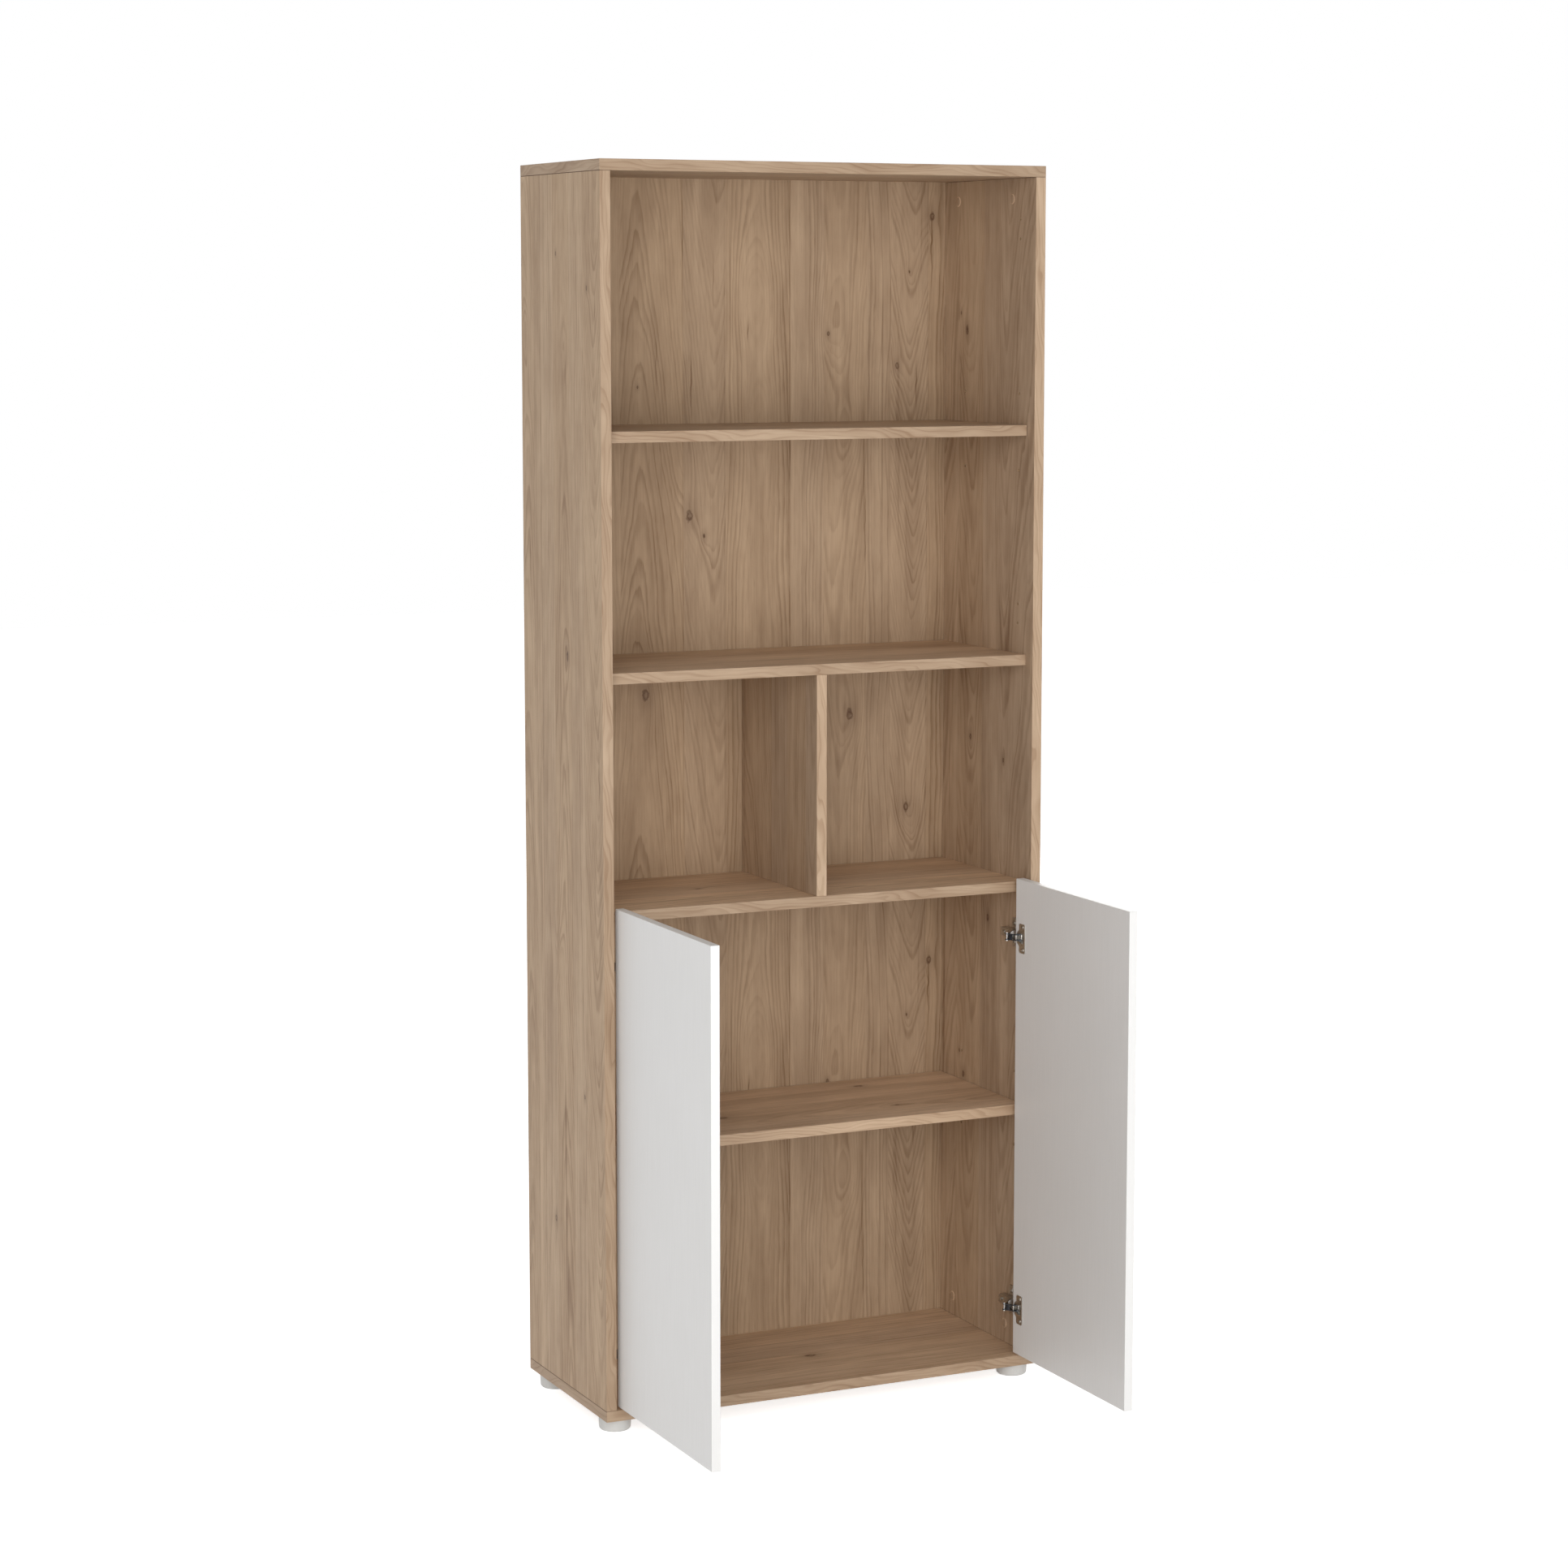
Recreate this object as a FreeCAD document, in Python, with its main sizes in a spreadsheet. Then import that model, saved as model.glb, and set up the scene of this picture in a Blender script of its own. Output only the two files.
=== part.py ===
import FreeCAD, Part
import math
import os
import re

import Sketcher

# Tall bookcase with two inset doors below, shown with both doors open at a right angle.
# X runs to the right, Y to the back, Z up. The origin is on the floor, midway between the sides
# and in the middle of the depth that the bookcase takes up with its doors open.
doc = FreeCAD.newDocument("bookcase")
sheet = doc.addObject("Spreadsheet::Sheet", "Sizes")

# Driving sizes in millimetres and degrees.
sizes = {
    # carcass
    "width": 795,
    "depth": 342,
    "inner_height": 1992,         # bottom panel to top panel
    "board": 18,                  # thickness of every wooden panel
    "shelf_setback": 24,          # front plane to the shelves' front edges
    "back_thickness": 3,
    "back_recess": 17,            # carcass back to the back panel's rear face
    "groove_depth": 8,
    "groove_play": 0.4,
    "back_shelf_gap": 0.5,
    "upper_level": 1584,          # shelf tops above the bottom panel
    "middle_level": 1200,
    "lower_level": 816,
    "cabinet_level": 432,
    "loose_shelf_gap": 1,         # at each end of an adjustable shelf
    # feet
    "foot_height": 22,
    "foot_diameter": 54,
    "foot_base_diameter": 51.6,
    "foot_round": 2.5,
    "foot_side_inset": 29,
    "foot_front_inset": 36,
    "foot_back_inset": 45,
    "foot_recess_diameter": 18,
    "foot_recess": 14,
    "foot_screw_diameter": 4.5,
    "foot_screw_head": 9,
    "foot_screw_head_height": 2.6,
    "foot_screw_bite": 13,
    "screw_play": 0.1,
    "screw_tip": 2.5,
    # knock-down joints
    "cam_diameter": 15,
    "cam_height": 12,
    "cam_hole_depth": 12.8,
    "cam_sink": 0.6,
    "cam_play": 0.1,
    "cam_reach": 34,              # joint face to the cam's centre
    "joint_front": 82.5,          # front plane to the front cams
    "joint_back": 67.5,           # carcass back to the rear cams
    "cover_diameter": 17,
    "cover_height": 0.7,
    "cover_plug": 0.5,
    "channel_diameter": 8,
    "bolt_diameter": 6,
    "bolt_thread_diameter": 5,
    "bolt_thread": 11,
    "bolt_neck_diameter": 4,
    "bolt_neck": 4.5,
    "bolt_head_diameter": 6.6,
    "bolt_head": 3,
    "dowel_diameter": 8,
    "dowel_length": 30,
    "dowel_bite": 10,             # depth in the face of a panel
    "dowel_chamfer": 1,
    "dowel_step": 32,             # cam to dowel
    "hole_spare": 0.5,
    # shelf pins
    "pin_diameter": 5,
    "pin_bite": 11,
    "pin_reach": 9,
    "pin_collar_diameter": 7,
    "pin_collar": 1,
    "pin_front": 53,              # front plane to the front row
    "pin_row_step": 192,          # front row to back row
    "pin_drop": 13,               # shelf top to pin centre
    "pin_pitch": 64,
    "notch_width": 8,
    "notch_length": 12,
    "notch_play": 0.05,
    # doors
    "door_thickness": 15,
    "door_side_gap": 2.5,
    "door_middle_gap": 3,
    "door_bottom_gap": 3,
    "door_lip": 7,                # door top above the lower shelf's top
    "open_out": 6.5,              # side to the open door's outer face
    "open_back": 12,              # front plane to the open door's hinge edge
    # hinges
    "upper_hinge_drop": 99.5,
    "lower_hinge_rise": 79.5,
    "plate_line": 53,             # front plane to the mounting plate's screws
    "plate_screw_step": 32,
    "plate_wing_length": 50,
    "plate_wing_width": 11,
    "plate_thickness": 2.5,
    "plate_ridge_front": 44,
    "plate_ridge_back": 73,
    "plate_ridge_play": 0.4,
    "plate_screw_head": 8,
    "plate_screw_head_height": 1.8,
    "spare_plate_rise": 67,       # middle shelf to the spare holes above it
    "spare_plate_drop": 84.5,     # top panel to the spare holes below it
    "arm_width": 14,
    "arm_wall": 1.2,
    "arm_top": 15,
    "arm_foot": 3,
    "arm_rear": 75,
    "arm_bend": 46,
    "arm_nose": 3,
    "arm_mouth": 8,
    "inner_arm_pin_out": 27.5,
    "inner_arm_pin_back": 26.5,
    "outer_arm_pin_out": 34,
    "outer_arm_pin_back": 20.5,
    "hinge_pin_diameter": 2.2,
    "hinge_pin_play": 0.05,
    "adjust_front": 50,
    "adjust_rear": 66,
    "adjust_diameter": 4,
    "adjust_slot": 8,
    "adjust_head": 7,
    "adjust_head_height": 1.6,
    "adjust_bite": 6,
    "link_play": 0.3,             # arm cheek to outer link
    "link_gap": 0.4,              # outer link cheek to inner link
    "inner_link_thickness": 2,
    "inner_arm_eye_diameter": 4.4,
    "inner_cup_eye_diameter": 3.5,
    "inner_knee_reach": 10.5,
    "inner_knee_rise": 0.1,
    "outer_link_depth": 3.4,
    "outer_link_wall": 1.3,
    "outer_eye_diameter": 4.4,
    "outer_slot_eye_diameter": 5.6,
    "outer_slot_diameter": 2.9,
    "outer_slot_run": 1.7,
    "outer_slot_lead": 0.4,
    "outer_slot_turn": 212,
    "outer_knee_reach": 6.5,
    "outer_knee_rise": 0.8,
    "outer_web_start": 3.4,
    "outer_web_length": 8,
    "cup_diameter": 28,
    "cup_depth": 11.5,
    "cup_play": 0.1,
    "cup_floor": 0.9,
    "cup_inset": 18.5,            # door edge to the cup's centre
    "cup_slot_near": 5.4,         # door edge to the inner link's slot
    "cup_slot_play": 0.3,
    "cup_neck_near": 6.2,         # door edge to the outer link's room
    "cup_neck_far": 13,
    "cup_neck_play": 0.7,
    "cup_mouth_near": 21,
    "cup_mouth_far": 28.8,
    "cup_mouth_spread": 2.3,      # neck to mouth at each side
    "cup_mouth_cut": 2.5,         # corner cut at the cavity's far end
    "cup_rim_diameter": 29,
    "flange_thickness": 1.2,
    "flange_near": 13.3,
    "flange_far": 33,
    "flange_length": 50,
    "flange_round": 2.5,
    "cup_screw_inset": 24.5,
    "cup_screw_step": 39,
    "cup_screw_diameter": 3.5,
    "cup_screw_bite": 11,
    "cup_screw_head": 6.4,
    "cup_screw_head_height": 1.5,
    "inner_cup_pin_inset": 7.5,
    "inner_cup_pin_depth": 7,
    "inner_cup_pin_bite": 0.5,
    "outer_cup_pin_inset": 9.3,
    "outer_cup_pin_depth": 3.5,
    "outer_cup_pin_bite": 2.8,
}
for row, (alias, value) in enumerate(sizes.items(), 1):
    sheet.set(f"A{row}", alias.replace("_", " "))
    sheet.set(f"B{row}", str(value))
    sheet.setAlias(f"B{row}", alias)
doc.recompute()

# Places that several pieces share, written in the driving sizes.
clear = "(width - 2 * board)"
floor_level = "(foot_height + board)"
door_width = f"(({clear} - 2 * door_side_gap - door_middle_gap) / 2)"
door_height = "(lower_level + door_lip - door_bottom_gap)"
front_plane = f"(({door_width} - open_back - depth) / 2)"
shelf_depth = "(depth - back_recess - back_thickness - back_shelf_gap - shelf_setback)"
loose_width = f"({clear} - 2 * loose_shelf_gap)"
joint_rows = ["joint_front", "(depth - joint_back)"]
dowel_rows = ["(joint_front + dowel_step)", "(depth - joint_back - dowel_step)"]
pin_rows = ["pin_front", "(pin_front + pin_row_step)"]
upper_hinge = "(lower_level + door_lip - upper_hinge_drop)"
lower_hinge = "(door_bottom_gap + lower_hinge_rise)"
hinge_levels = {"upper": upper_hinge, "lower": lower_hinge}
inner_face = "(open_out + door_thickness)"
outer_link_width = "(arm_width - 2 * arm_wall - 2 * link_play)"
inner_link_width = f"({outer_link_width} - 2 * outer_link_wall - 2 * link_gap)"
slot_half = f"({inner_link_width} / 2 + cup_slot_play)"
neck_half = f"({outer_link_width} / 2 + cup_neck_play)"
mouth_half = f"({neck_half} + cup_mouth_spread)"
long_pin_half = f"({neck_half} + inner_cup_pin_bite)"
short_pin_start = f"({inner_link_width} / 2 + link_gap / 2)"
short_pin_end = f"({neck_half} + outer_cup_pin_bite)"

nodes = []
cuts = []


def size(alias):
    return float(sheet.get(alias))


def scoped(expression):
    return re.sub(r"[a-z]\w*", lambda word: f"Sizes.{word[0]}" if word[0] in sizes else word[0], expression)


def bind(target, path, expression):
    target.setExpression(path, scoped(expression))


def new_body(label, x="0", y="0", z="0", keep=True):
    body = doc.addObject("PartDesign::Body", label)
    body.Label = label
    for axis, expression in zip("xyz", (x, y, z)):
        bind(body, f"Placement.Base.{axis}", expression)
    if keep:
        nodes.append(body)
    return body


def new_sketch(body, plane, offset="0"):
    sketch = body.newObject("Sketcher::SketchObject", f"{body.Label}_sketch")
    support = next(item for item in body.Origin.OriginFeatures if item.Role == plane)
    sketch.AttachmentSupport = [(support, "")]
    sketch.MapMode = "FlatFace"
    bind(sketch, "AttachmentOffset.Base.z", offset)
    return sketch


def hold_point(sketch, geometry, point, place):
    for kind, axis, expression in (("DistanceX", -2, place[0]), ("DistanceY", -1, place[1])):
        if expression == "0":
            sketch.addConstraint(Sketcher.Constraint("PointOnObject", geometry, point, axis))
        else:
            index = sketch.addConstraint(Sketcher.Constraint(kind, -1, 1, geometry, point, 1.0))
            bind(sketch, f"Constraints[{index}]", expression)


def add_polygon(sketch, points):
    first = sketch.GeometryCount
    count = len(points)
    turn = 2 * math.pi / count
    ring = [FreeCAD.Vector(math.cos(k * turn), math.sin(k * turn), 0) for k in range(count)]
    for k in range(count):
        sketch.addGeometry(Part.LineSegment(ring[k], ring[(k + 1) % count]))
    for k in range(count):
        following = first + (k + 1) % count
        sketch.addConstraint(Sketcher.Constraint("Coincident", first + k, 2, following, 1))
    for k, place in enumerate(points):
        hold_point(sketch, first + k, 1, place)


def add_rectangle(sketch, low_x, low_y, high_x, high_y):
    add_polygon(sketch, [(low_x, low_y), (high_x, low_y), (high_x, high_y), (low_x, high_y)])


def add_circles(sketch, places, diameter):
    up = FreeCAD.Vector(0, 0, 1)
    for place in places:
        index = sketch.addGeometry(Part.Circle(FreeCAD.Vector(1, 1, 0), up, 1.0))
        hold_point(sketch, index, 3, place)
        limit = sketch.addConstraint(Sketcher.Constraint("Diameter", index, 2.0))
        bind(sketch, f"Constraints[{limit}]", diameter)


def add_pad(body, sketch, length, middle=False, back=False):
    pad = body.newObject("PartDesign::Pad", f"{body.Label}_pad")
    pad.Profile = sketch
    pad.SideType = "Symmetric" if middle else "One side"
    pad.Reversed = back
    bind(pad, "Length", length)
    return pad


def add_pocket(body, sketch, length, middle=False, along=False):
    pocket = body.newObject("PartDesign::Pocket", f"{body.Label}_pocket")
    pocket.Profile = sketch
    pocket.SideType = "Symmetric" if middle else "One side"
    pocket.Reversed = along
    bind(pocket, "Length", length)
    cuts.append(pocket)
    return pocket


def drill(body, plane, offset, places, diameter, depth, along=False, middle=False):
    sketch = new_sketch(body, plane, offset)
    add_circles(sketch, places, diameter)
    add_pocket(body, sketch, depth, middle, along)


def turned(label, profile, x="0", y="0", z="0", keep=False):
    body = new_body(label, x, y, z, keep)
    sketch = new_sketch(body, "XZ_Plane")
    add_polygon(sketch, profile)
    revolution = body.newObject("PartDesign::Revolution", f"{label}_revolution")
    revolution.Profile = sketch
    revolution.ReferenceAxis = (sketch, ["V_Axis"])
    revolution.Angle = 360
    return body


def mirror_image(label, source):
    twin = doc.addObject("Part::Mirroring", label)
    twin.Label = label
    twin.Source = source
    twin.Normal = FreeCAD.Vector(1, 0, 0)
    nodes.append(twin)
    return twin


def both(rows, columns):
    return [(row, column) for row in rows for column in columns]


def side_panel():
    side = new_body("left_side_panel", f"-{clear} / 2 - board", front_plane, floor_level)
    outline = new_sketch(side, "YZ_Plane")
    add_rectangle(outline, "0", "0", "depth", "inner_height")
    add_pad(side, outline, "board")
    pin_heights = []
    for level in ("upper_level", "cabinet_level"):
        for step in ("+ pin_pitch", "+ 0 * pin_pitch", "- pin_pitch"):
            pin_heights.append(f"({level} - pin_drop {step})")
    drill(side, "YZ_Plane", "board", both(pin_rows, pin_heights), "pin_diameter", "pin_bite + hole_spare")
    plate_heights = [upper_hinge, lower_hinge]
    plate_heights.append("(middle_level + spare_plate_rise)")
    plate_heights.append("(inner_height - spare_plate_drop)")
    screw_heights = [f"({height} {way} plate_screw_step / 2)" for height in plate_heights for way in "+-"]
    drill(side, "YZ_Plane", "board", both(["plate_line"], screw_heights), "pin_diameter",
          "pin_bite + hole_spare")
    cam_heights = ["cam_reach", "(inner_height - cam_reach)"]
    drill(side, "YZ_Plane", "board", both(joint_rows, cam_heights), "cam_diameter", "cam_hole_depth")
    fixed_heights = ["(middle_level - board / 2)", "(lower_level - board / 2)"]
    drill(side, "YZ_Plane", "board", both(joint_rows, fixed_heights), "bolt_thread_diameter",
          "bolt_thread + hole_spare")
    drill(side, "YZ_Plane", "board", both(dowel_rows, fixed_heights), "dowel_diameter",
          "dowel_bite + hole_spare")
    for offset, along in (("0", True), ("inner_height", False)):
        drill(side, "XY_Plane", offset, both(["board / 2"], joint_rows), "channel_diameter", "cam_reach",
              along)
        drill(side, "XY_Plane", offset, both(["board / 2"], dowel_rows), "dowel_diameter",
              "dowel_length - dowel_bite + hole_spare", along)
    groove = new_sketch(side, "YZ_Plane", "board")
    add_rectangle(groove, "depth - back_recess - back_thickness - groove_play / 2", "0",
                  "depth - back_recess + groove_play / 2", "inner_height")
    add_pocket(side, groove, "groove_depth")
    return side


def end_panel(label, height, face, along):
    panel = new_body(label, "-width / 2", front_plane, height)
    outline = new_sketch(panel, "XY_Plane")
    add_rectangle(outline, "0", "0", "width", "depth")
    add_pad(panel, outline, "board")
    ends = ["board / 2", "(width - board / 2)"]
    drill(panel, "XY_Plane", face, both(ends, joint_rows), "bolt_thread_diameter", "bolt_thread + hole_spare",
          along)
    drill(panel, "XY_Plane", face, both(ends, dowel_rows), "dowel_diameter", "dowel_bite + hole_spare", along)
    groove = new_sketch(panel, "XY_Plane", face)
    add_rectangle(groove, "board - groove_depth", "depth - back_recess - back_thickness - groove_play / 2",
                  "width - board + groove_depth", "depth - back_recess + groove_play / 2")
    add_pocket(panel, groove, "groove_depth", along=along)
    return panel


def bottom_panel():
    panel = end_panel("bottom_panel", "foot_height", "board", False)
    drill(panel, "XY_Plane", "0", foot_places("width / 2"), "foot_screw_diameter + screw_play",
          "foot_screw_bite + hole_spare", along=True)
    return panel


def foot_places(middle="0", front="0"):
    columns = [f"({middle} {way} (width / 2 - foot_side_inset))" for way in "-+"]
    rows = [f"({front} + foot_front_inset)", f"({front} + depth - foot_back_inset)"]
    return both(columns, rows)


def shelf_blank(label, wide, level):
    shelf = new_body(label, f"-{wide} / 2", f"{front_plane} + shelf_setback",
                     f"{floor_level} + {level} - board")
    outline = new_sketch(shelf, "XY_Plane")
    add_rectangle(outline, "0", "0", wide, shelf_depth)
    add_pad(shelf, outline, "board")
    return shelf


def fixed_shelf(label, level, divider_face, along):
    shelf = shelf_blank(label, clear, level)
    cam_rows = [f"({row} - shelf_setback)" for row in joint_rows]
    peg_rows = [f"({row} - shelf_setback)" for row in dowel_rows]
    drill(shelf, "XY_Plane", "0", both(["cam_reach", f"({clear} - cam_reach)"], cam_rows), "cam_diameter",
          "cam_hole_depth", along=True)
    for offset, inward in (("0", True), (clear, False)):
        drill(shelf, "YZ_Plane", offset, both(cam_rows, ["board / 2"]), "channel_diameter", "cam_reach",
              inward)
        drill(shelf, "YZ_Plane", offset, both(peg_rows, ["board / 2"]), "dowel_diameter",
              "dowel_length - dowel_bite + hole_spare", inward)
    drill(shelf, "XY_Plane", divider_face, both([f"{clear} / 2"], cam_rows), "dowel_diameter",
          "dowel_bite + hole_spare", along)
    return shelf


def loose_shelf(label, level):
    shelf = shelf_blank(label, loose_width, level)
    notches = new_sketch(shelf, "XY_Plane")
    for row in pin_rows:
        low = f"{row} - shelf_setback - notch_width / 2"
        high = f"{row} - shelf_setback + notch_width / 2"
        add_rectangle(notches, "0", low, "notch_length", high)
        add_rectangle(notches, f"{loose_width} - notch_length", low, loose_width, high)
    add_pocket(shelf, notches, "board - pin_drop + pin_diameter / 2 + notch_play", along=True)
    return shelf


def divider_panel():
    tall = "(middle_level - board - lower_level)"
    divider = new_body("divider", "-board / 2", f"{front_plane} + shelf_setback",
                       f"{floor_level} + lower_level")
    outline = new_sketch(divider, "YZ_Plane")
    add_rectangle(outline, "0", "0", shelf_depth, tall)
    add_pad(divider, outline, "board")
    rows = [f"({row} - shelf_setback)" for row in joint_rows]
    for offset, along in (("0", True), (tall, False)):
        drill(divider, "XY_Plane", offset, both(["board / 2"], rows), "dowel_diameter",
              "dowel_length - dowel_bite + hole_spare", along)
    return divider


def back_panel():
    inset = "(groove_depth - groove_play)"
    panel = new_body("back_panel", f"-{clear} / 2 - {inset}", f"{front_plane} + depth - back_recess",
                     f"{floor_level} - {inset}")
    outline = new_sketch(panel, "XZ_Plane")
    add_rectangle(outline, "0", "0", f"{clear} + 2 * {inset}", f"inner_height + 2 * {inset}")
    add_pad(panel, outline, "back_thickness")
    return panel


def is_foot_rim(box):
    level = abs(box.Center.z - size("foot_round")) < 0.01 and box.ZLength < 0.01
    return level and box.XLength > size("foot_recess_diameter")


def feet():
    names = ["front_left_foot", "rear_left_foot", "front_right_foot", "rear_right_foot"]
    for name, (x, y) in zip(names, foot_places("0", front_plane)):
        foot = turned(name, [
            ("foot_recess_diameter / 2", "0"),
            ("foot_base_diameter / 2 - foot_round", "0"),
            ("foot_base_diameter / 2", "foot_round"),
            ("foot_diameter / 2", "foot_height"),
            ("foot_screw_diameter / 2 + screw_play", "foot_height"),
            ("foot_screw_diameter / 2 + screw_play", "foot_recess"),
            ("foot_recess_diameter / 2", "foot_recess"),
        ], x, y, "0", keep=True)
        doc.recompute()
        rim = [f"Edge{k}" for k, edge in enumerate(foot.Shape.Edges, 1) if is_foot_rim(edge.BoundBox)]
        turning = foot.Tip
        soften = foot.newObject("PartDesign::Fillet", f"{name}_fillet")
        soften.Base = (turning, rim)
        bind(soften, "Radius", "foot_round")


def left_door():
    door = new_body("left_door", f"-{clear} / 2 + open_out", f"{front_plane} + open_back - {door_width}",
                    f"{floor_level} + door_bottom_gap")
    outline = new_sketch(door, "YZ_Plane")
    add_rectangle(outline, "0", "0", door_width, door_height)
    add_pad(door, outline, "door_thickness")
    levels = [f"({level} - door_bottom_gap)" for level in hinge_levels.values()]
    drill(door, "YZ_Plane", "door_thickness", both([f"({door_width} - cup_inset)"], levels), "cup_diameter",
          "cup_depth + cup_play")
    screw_heights = [f"({level} {way} cup_screw_step / 2)" for level in levels for way in "+-"]
    drill(door, "YZ_Plane", "door_thickness", both([f"({door_width} - cup_screw_inset)"], screw_heights),
          "cup_screw_diameter + screw_play", "cup_screw_bite + hole_spare")
    return door


def hinge_body(label, level):
    return new_body(label, f"-{clear} / 2", front_plane, f"{floor_level} + {level}")


def mounting_plate(label, level):
    plate = hinge_body(label, level)
    wings = new_sketch(plate, "YZ_Plane")
    add_rectangle(wings, "plate_line - plate_wing_width / 2", "-plate_wing_length / 2",
                  "plate_line + plate_wing_width / 2", "plate_wing_length / 2")
    add_pad(plate, wings, "plate_thickness")
    half = "(arm_width / 2 - arm_wall - plate_ridge_play)"
    ridge = new_sketch(plate, "YZ_Plane")
    add_rectangle(ridge, "plate_ridge_front", f"-{half}", "plate_ridge_back", half)
    add_pad(plate, ridge, "arm_top - arm_wall")
    screws = both(["plate_line"], ["plate_screw_step / 2", "-plate_screw_step / 2"])
    drill(plate, "YZ_Plane", "plate_thickness", screws, "pin_diameter + screw_play", "plate_thickness")
    adjusters = both(["adjust_front", "adjust_rear"], ["0"])
    drill(plate, "YZ_Plane", "arm_top - arm_wall", adjusters, "adjust_diameter + screw_play",
          "adjust_bite + hole_spare")
    return plate


def pin_place(kind, carrier):
    if carrier == "arm":
        return FreeCAD.Vector(size(f"{kind}_arm_pin_out"), size(f"{kind}_arm_pin_back"), 0)
    out = size("open_out") + size("door_thickness") - size(f"{kind}_cup_pin_depth")
    return FreeCAD.Vector(out, size("open_back") - size(f"{kind}_cup_pin_inset"), 0)


def left_of(way):
    return FreeCAD.Vector(-way.y, way.x, 0)


def add_arc(sketch, centre, start, end):
    radius = start.distanceToPoint(centre)
    first = math.atan2(start.y - centre.y, start.x - centre.x)
    last = math.atan2(end.y - centre.y, end.x - centre.x)
    if last <= first:
        last += 2 * math.pi
    ring = Part.Circle(centre, FreeCAD.Vector(0, 0, 1), radius)
    sketch.addGeometry(Part.ArcOfCircle(ring, first, last))


def add_bar(sketch, start, end, radius):
    side = left_of((end - start).normalize()) * radius
    sketch.addGeometry(Part.LineSegment(start - side, end - side))
    add_arc(sketch, end, end - side, end + side)
    sketch.addGeometry(Part.LineSegment(end + side, start + side))
    add_arc(sketch, start, start + side, start - side)


def pad_bar(body, start, end, radius, width):
    sketch = new_sketch(body, "XY_Plane")
    add_bar(sketch, start, end, radius)
    add_pad(body, sketch, width, middle=True)


def pad_eye(body, centre, diameter, width):
    sketch = new_sketch(body, "XY_Plane")
    sketch.addGeometry(Part.Circle(centre, FreeCAD.Vector(0, 0, 1), size(diameter) / 2))
    add_pad(body, sketch, width, middle=True)


def bore_through(body, centres, diameter, width):
    sketch = new_sketch(body, "XY_Plane")
    for centre in centres:
        sketch.addGeometry(Part.Circle(centre, FreeCAD.Vector(0, 0, 1), diameter / 2))
    add_pocket(body, sketch, width, middle=True)


def add_outline(sketch, corners):
    for start, end in zip(corners, corners[1:] + corners[:1]):
        sketch.addGeometry(Part.LineSegment(start, end))


def tangent_point(outside, centre, radius, turn):
    reach = centre - outside
    lean = math.acos(radius / reach.Length)
    base = math.atan2(-reach.y, -reach.x) + turn * lean
    return centre + FreeCAD.Vector(math.cos(base), math.sin(base), 0) * radius


def hinge_arm(label, level):
    arm = hinge_body(label, level)
    inner = pin_place("inner", "arm")
    outer = pin_place("outer", "arm")
    nose = size("arm_nose")
    top, foot, rear, bend = (size(f"arm_{part}") for part in ("top", "foot", "rear", "bend"))
    rear_foot = FreeCAD.Vector(foot, rear, 0)
    rear_top = FreeCAD.Vector(top, rear, 0)
    bend_top = FreeCAD.Vector(top, bend, 0)
    bend_foot = FreeCAD.Vector(foot, bend, 0)
    top_touch = tangent_point(bend_top, outer, nose, -1)
    foot_touch = tangent_point(bend_foot, inner, nose, 1)
    front = left_of((outer - inner).normalize()) * -nose
    outline = new_sketch(arm, "XY_Plane")
    corners = [top_touch, bend_top, rear_top, rear_foot, bend_foot, foot_touch]
    for start, end in zip(corners, corners[1:]):
        outline.addGeometry(Part.LineSegment(start, end))
    outline.addGeometry(Part.LineSegment(inner + front, outer + front))
    add_arc(outline, inner, foot_touch, inner + front)
    add_arc(outline, outer, outer + front, top_touch)
    add_pad(arm, outline, "arm_width", middle=True)

    # the channel inside, open below, at the rear and at the nose where the links swing
    wall = size("arm_wall")
    slope = (bend_top - top_touch).normalize()
    inward = left_of(slope)
    roof_end = top_touch + slope * size("arm_mouth")
    corner_run = (bend_top.x - wall - (top_touch + inward * wall).x) / slope.x
    corner = top_touch + inward * wall + slope * corner_run
    beyond = size("arm_width")
    channel = new_sketch(arm, "XY_Plane")
    add_outline(channel, [
        FreeCAD.Vector(foot - beyond, rear + beyond, 0),
        FreeCAD.Vector(top - wall, rear + beyond, 0),
        corner,
        roof_end + inward * wall,
        roof_end - inward * beyond,
        FreeCAD.Vector(outer.x + 2 * beyond, outer.y - beyond, 0),
        FreeCAD.Vector(foot - beyond, outer.y - beyond, 0),
    ])
    add_pocket(arm, channel, "arm_width - 2 * arm_wall", middle=True)
    bore_through(arm, [inner, outer], size("hinge_pin_diameter"), "arm_width")
    slots = new_sketch(arm, "YZ_Plane", "arm_top")
    for place in ("adjust_front", "adjust_rear"):
        run = FreeCAD.Vector(size("adjust_slot") - size("adjust_diameter"), 0, 0) / 2
        middle = FreeCAD.Vector(size(place), 0, 0)
        add_bar(slots, middle - run, middle + run, (size("adjust_diameter") + size("screw_play")) / 2)
    add_pocket(arm, slots, "arm_wall")
    return arm


def inner_link(label, level):
    link = hinge_body(label, level)
    arm_end = pin_place("inner", "arm")
    cup_end = pin_place("inner", "cup")
    knee = cup_end + FreeCAD.Vector(size("inner_knee_reach"), size("inner_knee_rise"), 0)
    half = size("inner_link_thickness") / 2
    pad_bar(link, arm_end, knee, half, inner_link_width)
    pad_bar(link, knee, cup_end, half, inner_link_width)
    pad_eye(link, arm_end, "inner_arm_eye_diameter", inner_link_width)
    pad_eye(link, cup_end, "inner_cup_eye_diameter", inner_link_width)
    bore = size("hinge_pin_diameter") + 2 * size("hinge_pin_play")
    bore_through(link, [arm_end, cup_end], bore, inner_link_width)
    return link


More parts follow.
